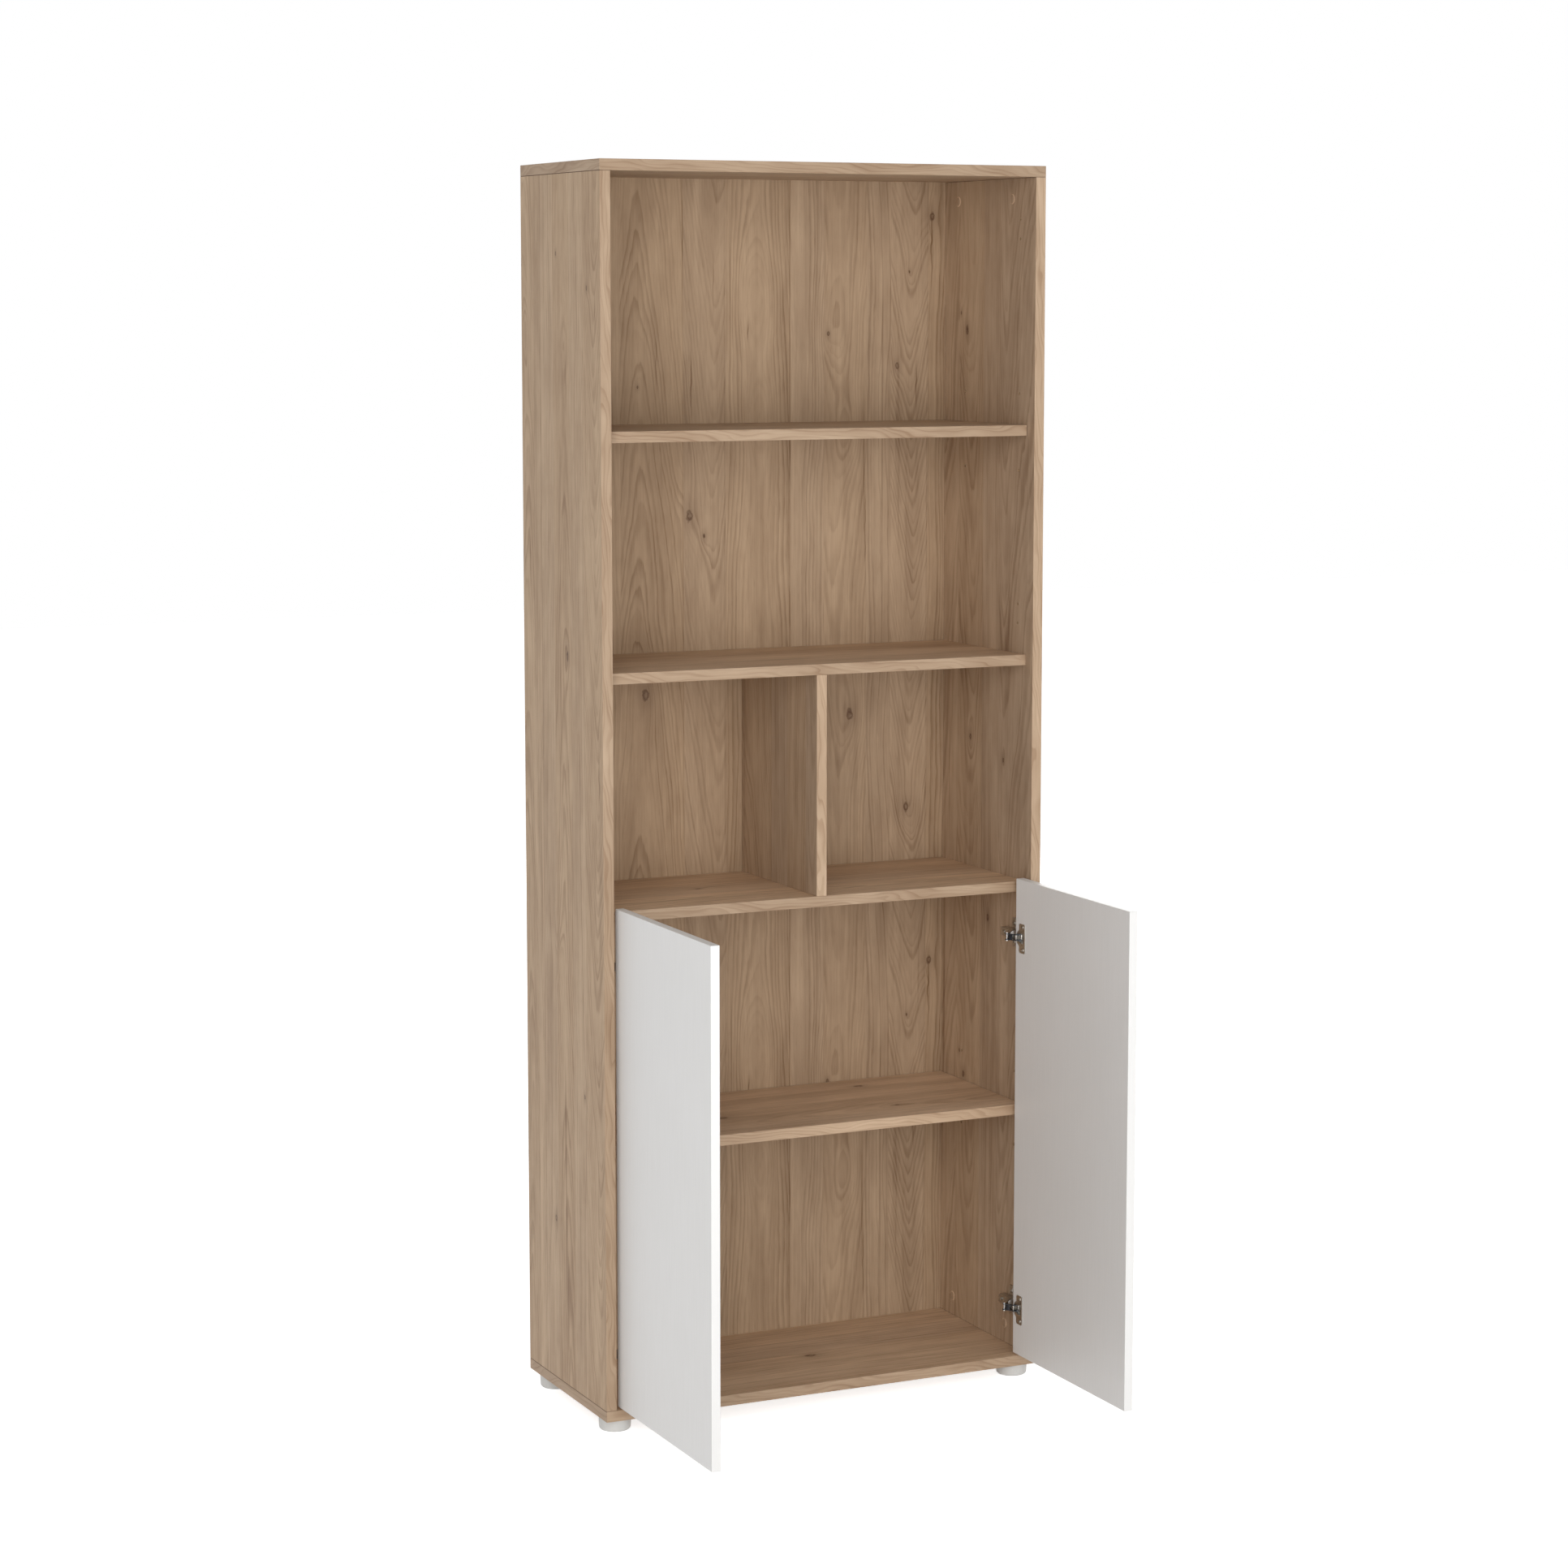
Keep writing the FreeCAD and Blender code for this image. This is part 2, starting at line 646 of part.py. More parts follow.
def outer_link(label, level):
    link = hinge_body(label, level)
    arm_end = pin_place("outer", "arm")
    cup_end = pin_place("outer", "cup")
    knee = cup_end + FreeCAD.Vector(size("outer_knee_reach"), size("outer_knee_rise"), 0)
    half = size("outer_link_depth") / 2
    turn = math.radians(size("outer_slot_turn"))
    slot_way = FreeCAD.Vector(math.cos(turn), math.sin(turn), 0)
    slot_start = arm_end - slot_way * size("outer_slot_lead")
    slot_end = arm_end + slot_way * size("outer_slot_run")
    pad_bar(link, arm_end, knee, half, outer_link_width)
    pad_bar(link, knee, cup_end, half, outer_link_width)
    pad_bar(link, slot_start, slot_end, size("outer_slot_eye_diameter") / 2, outer_link_width)
    pad_eye(link, cup_end, "outer_eye_diameter", outer_link_width)

    # two cheeks stay, joined by a web along the bar beside the arm
    way = (knee - arm_end).normalize()
    web_side = left_of(way)
    beyond = 4 * size("outer_link_depth")
    long = (knee - arm_end).Length
    start, end = size("outer_web_start"), size("outer_web_start") + size("outer_web_length")
    web_face = half - size("outer_link_wall")

    def spot(along, across):
        return arm_end + way * along + web_side * across

    space = new_sketch(link, "XY_Plane")
    add_outline(space, [
        spot(-beyond, -beyond), spot(long + beyond, -beyond), spot(long + beyond, beyond), spot(end, beyond),
        spot(end, web_face), spot(start, web_face), spot(start, beyond), spot(-beyond, beyond),
    ])
    add_pocket(link, space, f"{outer_link_width} - 2 * outer_link_wall", middle=True)
    bore_through(link, [cup_end], size("hinge_pin_diameter") + 2 * size("hinge_pin_play"), outer_link_width)
    slot = new_sketch(link, "XY_Plane")
    add_bar(slot, slot_start, slot_end, size("outer_slot_diameter") / 2)
    add_pocket(link, slot, outer_link_width, middle=True)
    return link


def hinge_cup(label, level):
    cup = hinge_body(label, level)
    middle = "(open_back - cup_inset)"
    barrel = new_sketch(cup, "YZ_Plane", inner_face)
    add_circles(barrel, [(middle, "0")], "cup_diameter - cup_play")
    add_pad(cup, barrel, "cup_depth", back=True)
    rim = new_sketch(cup, "YZ_Plane", inner_face)
    add_circles(rim, [(middle, "0")], "cup_rim_diameter")
    add_pad(cup, rim, "flange_thickness")
    flange = new_sketch(cup, "YZ_Plane", inner_face)
    near, far = "open_back - flange_near", "open_back - flange_far"
    tip, shoulder = "flange_length / 2", "(flange_length / 2 - flange_round)"
    add_polygon(flange, [
        (far, f"-{shoulder}"), (f"{far} + flange_round", f"-{tip}"), (f"{near} - flange_round", f"-{tip}"),
        (near, f"-{shoulder}"), (near, shoulder), (f"{near} - flange_round", tip),
        (f"{far} + flange_round", tip), (far, shoulder),
    ])
    add_pad(cup, flange, "flange_thickness")
    cavity = new_sketch(cup, "YZ_Plane", f"{inner_face} + flange_thickness")
    half_outline = [
        ("open_back - cup_slot_near", slot_half), ("open_back - cup_neck_near", slot_half),
        ("open_back - cup_neck_near", neck_half), ("open_back - cup_neck_far", neck_half),
        ("open_back - cup_mouth_near", mouth_half), ("open_back - cup_mouth_far + cup_mouth_cut", mouth_half),
        ("open_back - cup_mouth_far", f"{mouth_half} - cup_mouth_cut"),
    ]
    other_half = [(along, f"-({across})") for along, across in reversed(half_outline)]
    add_polygon(cavity, half_outline + other_half)
    add_pocket(cup, cavity, "cup_depth - cup_floor + flange_thickness")
    screws = both(["open_back - cup_screw_inset"], ["cup_screw_step / 2", "-cup_screw_step / 2"])
    drill(cup, "YZ_Plane", f"{inner_face} + flange_thickness", screws, "cup_screw_diameter + screw_play",
          "flange_thickness")
    for kind, reach in (("inner", f"2 * {long_pin_half}"), ("outer", f"2 * {short_pin_end}")):
        place = (f"{inner_face} - {kind}_cup_pin_depth", f"open_back - {kind}_cup_pin_inset")
        drill(cup, "XY_Plane", "0", [place], "hinge_pin_diameter", reach, middle=True)
    return cup


def group(label, source, placements):
    cluster = doc.addObject("Part::Feature", label)
    cluster.Label = label
    pieces = []
    for placement in placements:
        piece = source.Shape.copy()
        piece.Placement = placement
        pieces.append(piece)
    cluster.Shape = Part.makeCompound(pieces)
    nodes.append(cluster)
    return cluster


def facing(x, y, z, way):
    turn = FreeCAD.Rotation(FreeCAD.Vector(0, 0, 1), FreeCAD.Vector(*way))
    return FreeCAD.Placement(FreeCAD.Vector(x, y, z), turn)


def mirrored(placements):
    twins = []
    for placement in placements:
        way = placement.Rotation.multVec(FreeCAD.Vector(0, 0, 1))
        base = placement.Base
        twins.append(facing(-base.x, base.y, base.z, (-way.x, way.y, way.z)))
    return placements + twins


upward, downward, inward, outward = (0, 0, 1), (0, 0, -1), (1, 0, 0), (-1, 0, 0)

left_side = side_panel()
mirror_image("right_side_panel", left_side)
end_panel("top_panel", f"{floor_level} + inner_height", "0", True)
bottom_panel()
back_panel()
loose_shelf("upper_shelf", "upper_level")
fixed_shelf("middle_shelf", "middle_level", "0", True)
fixed_shelf("lower_shelf", "lower_level", "board", False)
loose_shelf("cabinet_shelf", "cabinet_level")
divider_panel()
feet()
mirror_image("right_door", left_door())
makers = {
    "mounting_plate": mounting_plate, "hinge_arm": hinge_arm, "inner_link": inner_link,
    "outer_link": outer_link, "hinge_cup": hinge_cup,
}
for piece_name, make in makers.items():
    for height_name, hinge_level in hinge_levels.items():
        left_piece = make(f"left_{height_name}_{piece_name}", hinge_level)
        mirror_image(f"right_{height_name}_{piece_name}", left_piece)

# One pattern piece for each kind of fastener, turned about its own axis and starting at its seat.
screw_radius, head_radius = "foot_screw_diameter / 2", "foot_screw_head / 2"
foot_screw = turned("foot_screw", [
    ("0", "-foot_screw_head_height"), (head_radius, "-foot_screw_head_height"), (head_radius, "0"),
    (screw_radius, "0"), (screw_radius, "foot_height - foot_recess + foot_screw_bite - screw_tip"),
    ("0", "foot_height - foot_recess + foot_screw_bite"),
])
dowel_radius = "(dowel_diameter - screw_play) / 2"
dowel = turned("dowel", [
    ("0", "-dowel_bite"), (f"{dowel_radius} - dowel_chamfer", "-dowel_bite"),
    (dowel_radius, "-dowel_bite + dowel_chamfer"),
    (dowel_radius, "dowel_length - dowel_bite - dowel_chamfer"),
    (f"{dowel_radius} - dowel_chamfer", "dowel_length - dowel_bite"), ("0", "dowel_length - dowel_bite"),
])
thread_radius = "(bolt_thread_diameter - screw_play) / 2"
head_start, head_end = "cam_reach - bolt_head / 2", "cam_reach + bolt_head / 2"
neck_start = f"{head_start} - bolt_neck"
cam_bolt = turned("cam_bolt", [
    ("0", "-bolt_thread"), (thread_radius, "-bolt_thread"), (thread_radius, "0"), ("bolt_diameter / 2", "0"),
    ("bolt_diameter / 2", neck_start), ("bolt_neck_diameter / 2", neck_start),
    ("bolt_neck_diameter / 2", head_start), ("bolt_head_diameter / 2", head_start),
    ("bolt_head_diameter / 2", head_end), ("0", head_end),
])
cam = new_body("cam", keep=False)
cam_drum = new_sketch(cam, "XY_Plane", "-cam_sink")
add_circles(cam_drum, [("0", "0")], "cam_diameter - 2 * cam_play")
add_pad(cam, cam_drum, "cam_height", back=True)
cam_jaw = new_sketch(cam, "XY_Plane", "-cam_sink - cam_height")
jaw_half = "(bolt_head_diameter / 2 + cam_play)"
add_rectangle(cam_jaw, f"-{jaw_half}", f"-{jaw_half}", "cam_diameter", jaw_half)
add_pocket(cam, cam_jaw, f"cam_sink + cam_height - board / 2 + {jaw_half}", along=True)
cam_cross = new_sketch(cam, "XY_Plane", "-cam_sink")
add_rectangle(cam_cross, "-cam_diameter / 4", "-cam_sink", "cam_diameter / 4", "cam_sink")
add_pocket(cam, cam_cross, "2 * cam_sink")
plug_radius = "cam_diameter / 2 - cam_play"
cam_cover = turned("cam_cover", [
    ("0", "-cover_plug"), (plug_radius, "-cover_plug"), (plug_radius, "0"), ("cover_diameter / 2", "0"),
    ("cover_diameter / 2 - cover_height / 2", "cover_height"), ("0", "cover_height"),
])
bite_radius = "(pin_diameter - screw_play) / 2"
shelf_pin = turned("shelf_pin", [
    ("0", "-pin_bite"), (bite_radius, "-pin_bite"), (bite_radius, "0"),
    ("pin_collar_diameter / 2", "0"), ("pin_collar_diameter / 2", "pin_collar"),
    ("pin_diameter / 2", "pin_collar"), ("pin_diameter / 2", "pin_reach"), ("0", "pin_reach"),
])
plate_screw = turned("plate_screw", [
    ("0", "-plate_thickness - pin_bite"), (bite_radius, "-plate_thickness - pin_bite"),
    (bite_radius, "0"), ("plate_screw_head / 2", "0"),
    ("plate_screw_head / 2 - plate_screw_head_height / 2", "plate_screw_head_height"),
    ("0", "plate_screw_head_height"),
])
adjusting_screw = turned("adjusting_screw", [
    ("0", "-arm_wall - adjust_bite"), ("adjust_diameter / 2", "-arm_wall - adjust_bite"),
    ("adjust_diameter / 2", "0"), ("adjust_head / 2", "0"), ("adjust_head / 2", "adjust_head_height"),
    ("0", "adjust_head_height"),
])
cup_screw = turned("cup_screw", [
    ("0", "-flange_thickness - cup_screw_bite"),
    ("cup_screw_diameter / 2", "screw_tip - flange_thickness - cup_screw_bite"),
    ("cup_screw_diameter / 2", "0"), ("cup_screw_head / 2", "0"),
    ("cup_screw_head / 2 - cup_screw_head_height / 2", "cup_screw_head_height"),
    ("0", "cup_screw_head_height"),
])


def plain_pin(label, length):
    pin = doc.addObject("Part::Cylinder", label)
    bind(pin, "Radius", "hinge_pin_diameter / 2")
    bind(pin, "Height", length)
    return pin


arm_pin = plain_pin("arm_pin", "arm_width")
long_cup_pin = plain_pin("long_cup_pin", f"2 * {long_pin_half}")
short_cup_pin = plain_pin("short_cup_pin", f"{short_pin_end} - {short_pin_start}")
doc.recompute()

# Where the fasteners go, in numbers worked out from the same sizes.
clear_half = size("width") / 2 - size("board")
floor_height = size("foot_height") + size("board")
swing_width = (2 * clear_half - 2 * size("door_side_gap") - size("door_middle_gap")) / 2
front = (swing_width - size("open_back") - size("depth")) / 2
back = front + size("depth")
cam_ys = [front + size("joint_front"), back - size("joint_back")]
dowel_ys = [cam_ys[0] + size("dowel_step"), cam_ys[1] - size("dowel_step")]
ceiling_height = floor_height + size("inner_height")
side_middle = clear_half + size("board") / 2
fixed_levels = [floor_height + size(f"{name}_level") for name in ("middle", "lower")]
hinge_heights = [
    floor_height + size("lower_level") + size("door_lip") - size("upper_hinge_drop"),
    floor_height + size("door_bottom_gap") + size("lower_hinge_rise"),
]
half_board = size("board") / 2

foot_xs = [way * (size("width") / 2 - size("foot_side_inset")) for way in (-1, 1)]
foot_ys = [front + size("foot_front_inset"), back - size("foot_back_inset")]
foot_screw_places = [facing(x, y, size("foot_recess"), upward) for x in foot_xs for y in foot_ys]
group("foot_screws", foot_screw, foot_screw_places)

bolts, dowels, cams, covers = [], [], [], []
for y in cam_ys:
    bolts.append(facing(-side_middle, y, floor_height, upward))
    bolts.append(facing(-side_middle, y, ceiling_height, downward))
    bolts += [facing(-clear_half, y, level - half_board, inward) for level in fixed_levels]
for y in dowel_ys:
    dowels.append(facing(-side_middle, y, floor_height, upward))
    dowels.append(facing(-side_middle, y, ceiling_height, downward))
    dowels += [facing(-clear_half, y, level - half_board, inward) for level in fixed_levels]
divider_dowels = [facing(0, y, fixed_levels[1], upward) for y in cam_ys]
divider_dowels += [facing(0, y, fixed_levels[0] - size("board"), downward) for y in cam_ys]


def cam_facing(x, y, z, way, jaw):
    third = FreeCAD.Vector(*way).cross(FreeCAD.Vector(*jaw))
    turn = FreeCAD.Rotation(FreeCAD.Vector(*jaw), third, FreeCAD.Vector(*way), "ZXY")
    return FreeCAD.Placement(FreeCAD.Vector(x, y, z), turn)


reach = size("cam_reach")
for y in cam_ys:
    for z, jaw in ((floor_height + reach, downward), (ceiling_height - reach, upward)):
        cams += [cam_facing(-clear_half, y, z, inward, jaw), cam_facing(clear_half, y, z, outward, jaw)]
        covers += [facing(-clear_half, y, z, inward), facing(clear_half, y, z, outward)]
    for level in fixed_levels:
        for way, jaw in ((-1, outward), (1, inward)):
            x = way * (clear_half - reach)
            cams.append(cam_facing(x, y, level - size("board"), downward, jaw))
            covers.append(facing(x, y, level - size("board"), downward))
group("cam_bolts", cam_bolt, mirrored(bolts))
group("wooden_dowels", dowel, mirrored(dowels) + divider_dowels)
group("cams", cam, cams)
group("cam_covers", cam_cover, covers)

pin_ys = [front + size("pin_front"), front + size("pin_front") + size("pin_row_step")]
pin_zs = [floor_height + size(f"{name}_level") - size("pin_drop") for name in ("upper", "cabinet")]
group("shelf_pins", shelf_pin, mirrored([facing(-clear_half, y, z, inward) for y in pin_ys for z in pin_zs]))

screw_xs = {"plate": size("plate_thickness") - clear_half, "arm": size("arm_top") - clear_half}
plate_y = front + size("plate_line")
plate_zs = [z + way * size("plate_screw_step") / 2 for z in hinge_heights for way in (1, -1)]
group("mounting_plate_screws", plate_screw,
      mirrored([facing(screw_xs["plate"], plate_y, z, inward) for z in plate_zs]))
adjust_ys = [front + size("adjust_front"), front + size("adjust_rear")]
group("adjusting_screws", adjusting_screw,
      mirrored([facing(screw_xs["arm"], y, z, inward) for y in adjust_ys for z in hinge_heights]))


def pin_at(kind, carrier, z):
    place = pin_place(kind, carrier)
    return facing(place.x - clear_half, place.y + front, z, upward)


arm_low = -size("arm_width") / 2
group("hinge_arm_pins", arm_pin,
      mirrored([pin_at(kind, "arm", z + arm_low) for kind in ("inner", "outer") for z in hinge_heights]))

flange_x = size("open_out") + size("door_thickness") + size("flange_thickness") - clear_half
cup_screw_y = front + size("open_back") - size("cup_screw_inset")
cup_screw_zs = [z + way * size("cup_screw_step") / 2 for z in hinge_heights for way in (1, -1)]
cup_screws = [facing(flange_x, cup_screw_y, z, inward) for z in cup_screw_zs]
long_pins = [pin_at("inner", "cup", z - long_cup_pin.Height.Value / 2) for z in hinge_heights]
neck_room = size("arm_width") / 2 - size("arm_wall") - size("link_play") + size("cup_neck_play")
pin_end = neck_room + size("outer_cup_pin_bite")
short_lows = [pin_end - short_cup_pin.Height.Value, -pin_end]
short_pins = [pin_at("outer", "cup", z + low) for z in hinge_heights for low in short_lows]
for hand, first in (("left", 0), ("right", 1)):
    def of_hand(places):
        return mirrored(places)[first * len(places):(first + 1) * len(places)]

    group(f"{hand}_cup_screws", cup_screw, of_hand(cup_screws))
    group(f"{hand}_inner_cup_pins", long_cup_pin, of_hand(long_pins))
    group(f"{hand}_outer_cup_pins", short_cup_pin, of_hand(short_pins))
doc.recompute()

for item in doc.Objects:
    if {"Invalid", "Error"} & set(item.State):
        raise RuntimeError(f"{item.Label} did not build: {item.State}")
for pocket in cuts:
    if pocket.Shape.Volume >= pocket.BaseFeature.Shape.Volume - 0.01:
        raise RuntimeError(f"{pocket.Label} cuts nothing")
for node in nodes:
    if node.Shape.isNull() or not node.Shape.isValid() or not node.Shape.Solids:
        raise RuntimeError(f"{node.Label} has no valid solid")

os.makedirs("parts", exist_ok=True)
for node in nodes:
    node.Shape.exportStep(f"parts/{node.Label}.step")
print(len(nodes), "nodes,", sum(len(node.Shape.Solids) for node in nodes), "solids")
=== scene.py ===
import math

import bmesh
import bpy
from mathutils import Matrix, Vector


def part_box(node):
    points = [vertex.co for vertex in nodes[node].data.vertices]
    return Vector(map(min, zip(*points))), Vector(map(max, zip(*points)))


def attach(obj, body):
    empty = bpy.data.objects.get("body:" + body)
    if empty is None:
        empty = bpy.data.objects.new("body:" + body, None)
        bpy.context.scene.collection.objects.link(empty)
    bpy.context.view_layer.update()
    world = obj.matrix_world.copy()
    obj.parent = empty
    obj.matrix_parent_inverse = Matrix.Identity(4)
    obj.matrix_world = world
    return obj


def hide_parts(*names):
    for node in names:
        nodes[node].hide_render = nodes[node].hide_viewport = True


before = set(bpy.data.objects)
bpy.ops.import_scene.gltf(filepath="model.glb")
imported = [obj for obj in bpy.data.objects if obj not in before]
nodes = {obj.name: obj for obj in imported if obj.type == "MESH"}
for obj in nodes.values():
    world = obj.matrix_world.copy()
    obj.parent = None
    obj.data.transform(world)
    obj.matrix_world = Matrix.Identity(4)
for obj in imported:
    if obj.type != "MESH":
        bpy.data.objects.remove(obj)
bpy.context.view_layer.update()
axes = "XYZ"
print("frame loaded with", len(nodes), "CAD nodes")


# small helpers for node trees

def feed(tree, socket, value):  # a link from another socket, or a fixed value
    if isinstance(value, bpy.types.NodeSocket):
        tree.links.new(value, socket)
    else:
        socket.default_value = value


def put(tree, kind, inputs=None, **settings):
    node = tree.nodes.new(kind)
    for name, value in settings.items():
        setattr(node, name, value)
    for name, value in (inputs or {}).items():
        feed(tree, node.inputs[name], value)
    return node


def calc(tree, operation, first, second=0.0, third=0.0, clamp=False):
    return put(tree, "ShaderNodeMath", {0: first, 1: second, 2: third}, operation=operation,
               use_clamp=clamp).outputs[0]


def times(tree, first, second):
    return calc(tree, "MULTIPLY", first, second)


def over(tree, first, second):
    return calc(tree, "DIVIDE", first, second)


def minus(tree, first, second):
    return calc(tree, "SUBTRACT", first, second)


def scaled(tree, value, factor, start, clamp=False):
    return calc(tree, "MULTIPLY_ADD", value, factor, start, clamp)


def total(tree, *values):
    result = values[0]
    for value in values[1:]:
        result = calc(tree, "ADD", result, value)
    return result


def weighted(tree, values, weights):  # each value times its own weight, added up
    return total(tree, *(times(tree, value, weight) for value, weight in zip(values, weights)))


def squares(tree, first, second):  # both squared, added up
    return total(tree, times(tree, first, first), times(tree, second, second))


def bell(tree, value, fall=1.0):  # 1 at zero, fading as the value grows
    return calc(tree, "EXPONENT", times(tree, value, -fall))


def spread(tree, value, amount):  # a 0 to 1 value becomes plus or minus half the amount
    return times(tree, minus(tree, value, 0.5), amount)


def step(tree, value, low, high):
    return put(tree, "ShaderNodeMapRange", {"Value": value, "From Min": low, "From Max": high},
               interpolation_type="SMOOTHSTEP").outputs["Result"]


def vector(tree, x, y, z=0.0):
    return put(tree, "ShaderNodeCombineXYZ", {0: x, 1: y, 2: z}).outputs[0]


def split(tree, place):
    return put(tree, "ShaderNodeSeparateXYZ", {0: place}).outputs


def channels(tree, colour):
    return put(tree, "ShaderNodeSeparateColor", {"Color": colour}).outputs


def vectorCalc(tree, operation, first, second):
    return put(tree, "ShaderNodeVectorMath", {0: first, 1: second}, operation=operation).outputs[0]


def noise(tree, place, detail=2.0, scale=1.0):
    return put(tree, "ShaderNodeTexNoise", {"Vector": place, "Scale": scale, "Detail": detail}
               ).outputs["Fac"]


def chance(tree, value):  # three fixed random numbers for a whole number
    node = put(tree, "ShaderNodeTexWhiteNoise", {"W": value}, noise_dimensions="1D")
    return channels(tree, node.outputs["Color"])


def blend(tree, factor, first, second):  # sockets 6 and 7 are the mix node's two colours
    return put(tree, "ShaderNodeMix", {"Factor": factor, 6: first, 7: second},
               data_type="RGBA").outputs[2]


def srgb(*parts):  # a screen colour as linear light
    def linear(part):
        part /= 255
        return part / 12.92 if part <= 0.04045 else ((part + 0.055) / 1.055) ** 2.4
    return (*(linear(part) for part in parts), 1.0)


# scales a print colour by a board's factor: painted light, lightening or darkening boards of one
# decor
def withPaintedLight(colour, amount):
    return (*(min(part * amount, 1.0) for part in colour[:3]), 1.0)


def groupEnds(tree):
    return tree.nodes.new("NodeGroupInput").outputs, tree.nodes.new("NodeGroupOutput").inputs


def newGroup(name, vectors, values, results):  # a label that ends in Colour is a colour
    tree = bpy.data.node_groups.new(name, "ShaderNodeTree")
    for labels, way in ((vectors + values, "INPUT"), (results, "OUTPUT")):
        for label in labels:
            plain = "NodeSocketColor" if label.endswith("Colour") else "NodeSocketFloat"
            kind = "NodeSocketVector" if label in vectors else plain
            tree.interface.new_socket(label, in_out=way, socket_type=kind)
    return tree, *groupEnds(tree)


def give(tree, sockets, **values):  # Base_Color stands for the socket Base Color
    for name, value in values.items():
        feed(tree, sockets[name.replace("_", " ")], value)


def useGroup(tree, group, **values):
    node = tree.nodes.new("ShaderNodeGroup")
    node.node_tree = group
    give(tree, node.inputs, **values)
    return node.outputs


def newMaterial(name):
    material = bpy.data.materials.new(name)
    material.use_nodes = True
    tree = material.node_tree
    shader = tree.nodes["Principled BSDF"]
    place = put(tree, "ShaderNodeTexCoord").outputs["Object"]
    return material, tree, shader, place


def addBump(tree, shader, height, distance, strength=1.0):
    bump = put(tree, "ShaderNodeBump",
               {"Height": height, "Distance": distance, "Strength": strength})
    give(tree, shader.inputs, Normal=bump.outputs["Normal"])


# wood decor: the print's staves, its growth figure and its knots

staveLabels = ["Centre", "Reach", "Lean", "Start", "Tone", "Line"]
toneLabels = ["Light Colour", "Dark Colour", "Contrast"]
woodLabels = ["Colour", "Roughness", "Height"]
staveForm = {
    "widthChanges": 5.0, "widthSpread": 2.2,  # changes per metre, and their size in staves
    "draws": (7.13, 3.77), "drawGap": 51.0,  # two sets of random numbers for each stave
    "stray": 0.6,  # how far a figure's centre strays inside its stave
    "straight": (0.45, 0.46), "straightShift": 0.18, "straightLean": 0.15,  # staves of plain lines
    "reach": (0.022, 0.01), "lean": (0.13, 0.05),  # spread and least value
    "line": (0.0014, 0.0003), "lineSeams": (0.3, 0.8), "lineStrength": 0.3,  # dark joint lines
}


def makeStavePrint():
    tree, given, out = newGroup("stavePrint", ["Board"], ["Stave Width", "Seed"], staveLabels)
    form, width, seed = staveForm, given["Stave Width"], given["Seed"]
    across = split(tree, given["Board"])[0]
    uneven = noise(tree, vector(tree, times(tree, across, form["widthChanges"]), seed), 0.0)
    stave = total(tree, over(tree, across, width), spread(tree, uneven, form["widthSpread"]))
    index = calc(tree, "FLOOR", stave)
    inside = minus(tree, stave, index)
    later = total(tree, seed, form["drawGap"])
    shift, depth, start = chance(tree, scaled(tree, index, form["draws"][0], seed))
    slope, tone, seam = chance(tree, scaled(tree, index, form["draws"][1], later))
    away = times(tree, total(tree, inside, -0.5, spread(tree, shift, form["stray"])), width)
    straight = step(tree, seam, *form["straight"])
    sign = calc(tree, "SIGN", minus(tree, start, 0.5))
    climb = times(tree, scaled(tree, slope, *form["lean"]),
                  scaled(tree, straight, form["straightLean"] - 1.0, 1.0))
    edge = times(tree, calc(tree, "MINIMUM", inside, minus(tree, 1.0, inside)), width)
    faint = times(tree, step(tree, seam, *form["lineSeams"]), form["lineStrength"])
    give(tree, out, Start=start, Tone=tone, Lean=times(tree, sign, climb),
         Centre=scaled(tree, straight, form["straightShift"], minus(tree, across, away)),
         Reach=scaled(tree, depth, *form["reach"]),
         Line=times(tree, step(tree, edge, *form["line"]), faint))
    return tree


grain = {
    "fields": {  # marks per metre across and along the board, noise detail
        "drift": (7.0, 2.4, 1.0), "swell": (24.0, 4.5, 2.0), "ragged": (190.0, 34.0, 1.0),
        "broad": (12.0, 1.2, 1.0), "fibre": (820.0, 11.0, 2.0), "bundle": (110.0, 1.6, 5.0),
        "cloud": (30.0, 6.0, 2.0), "mottle": (62.0, 17.0, 2.0), "pore": (1500.0, 42.0, 1.0),
        "streak": (95.0, 1.5, 1.0),
    },
    "drift": 0.046, "swell": 0.013, "ragged": 0.0022,  # metres that the rings stray
    "startShift": 0.1, "seedStep": 3.0, "mottleSeed": 4.0, "streakSeed": 9.0,
    "yearChanges": 75.0, "yearSpread": 0.01,  # uneven ring widths
    "lateRise": (0.22, 0.86), "lateFall": (1.0, 0.86), "strongYears": (0.34, 0.68),
    "ringStrength": (0.85, 0.12), "poreLimits": (0.58, 0.74), "streakLimits": (0.68, 0.82),
    "darkness": {"tone": 0.16, "broad": 0.4, "fibre": 0.3, "bundle": 0.42, "cloud": 0.46,
                 "mottle": 0.26, "ring": 0.3, "pore": 0.14, "streak": 0.36, "line": 0.75},
    "middle": 0.36, "saturation": (0.08, 0.97), "saturationDraw": 7.7,
    "roughMarks": (0.16, 0.08), "rough": 0.42,  # fibre and pore
    "relief": (-0.6, -0.3, -0.5),  # pore, fibre and line
}


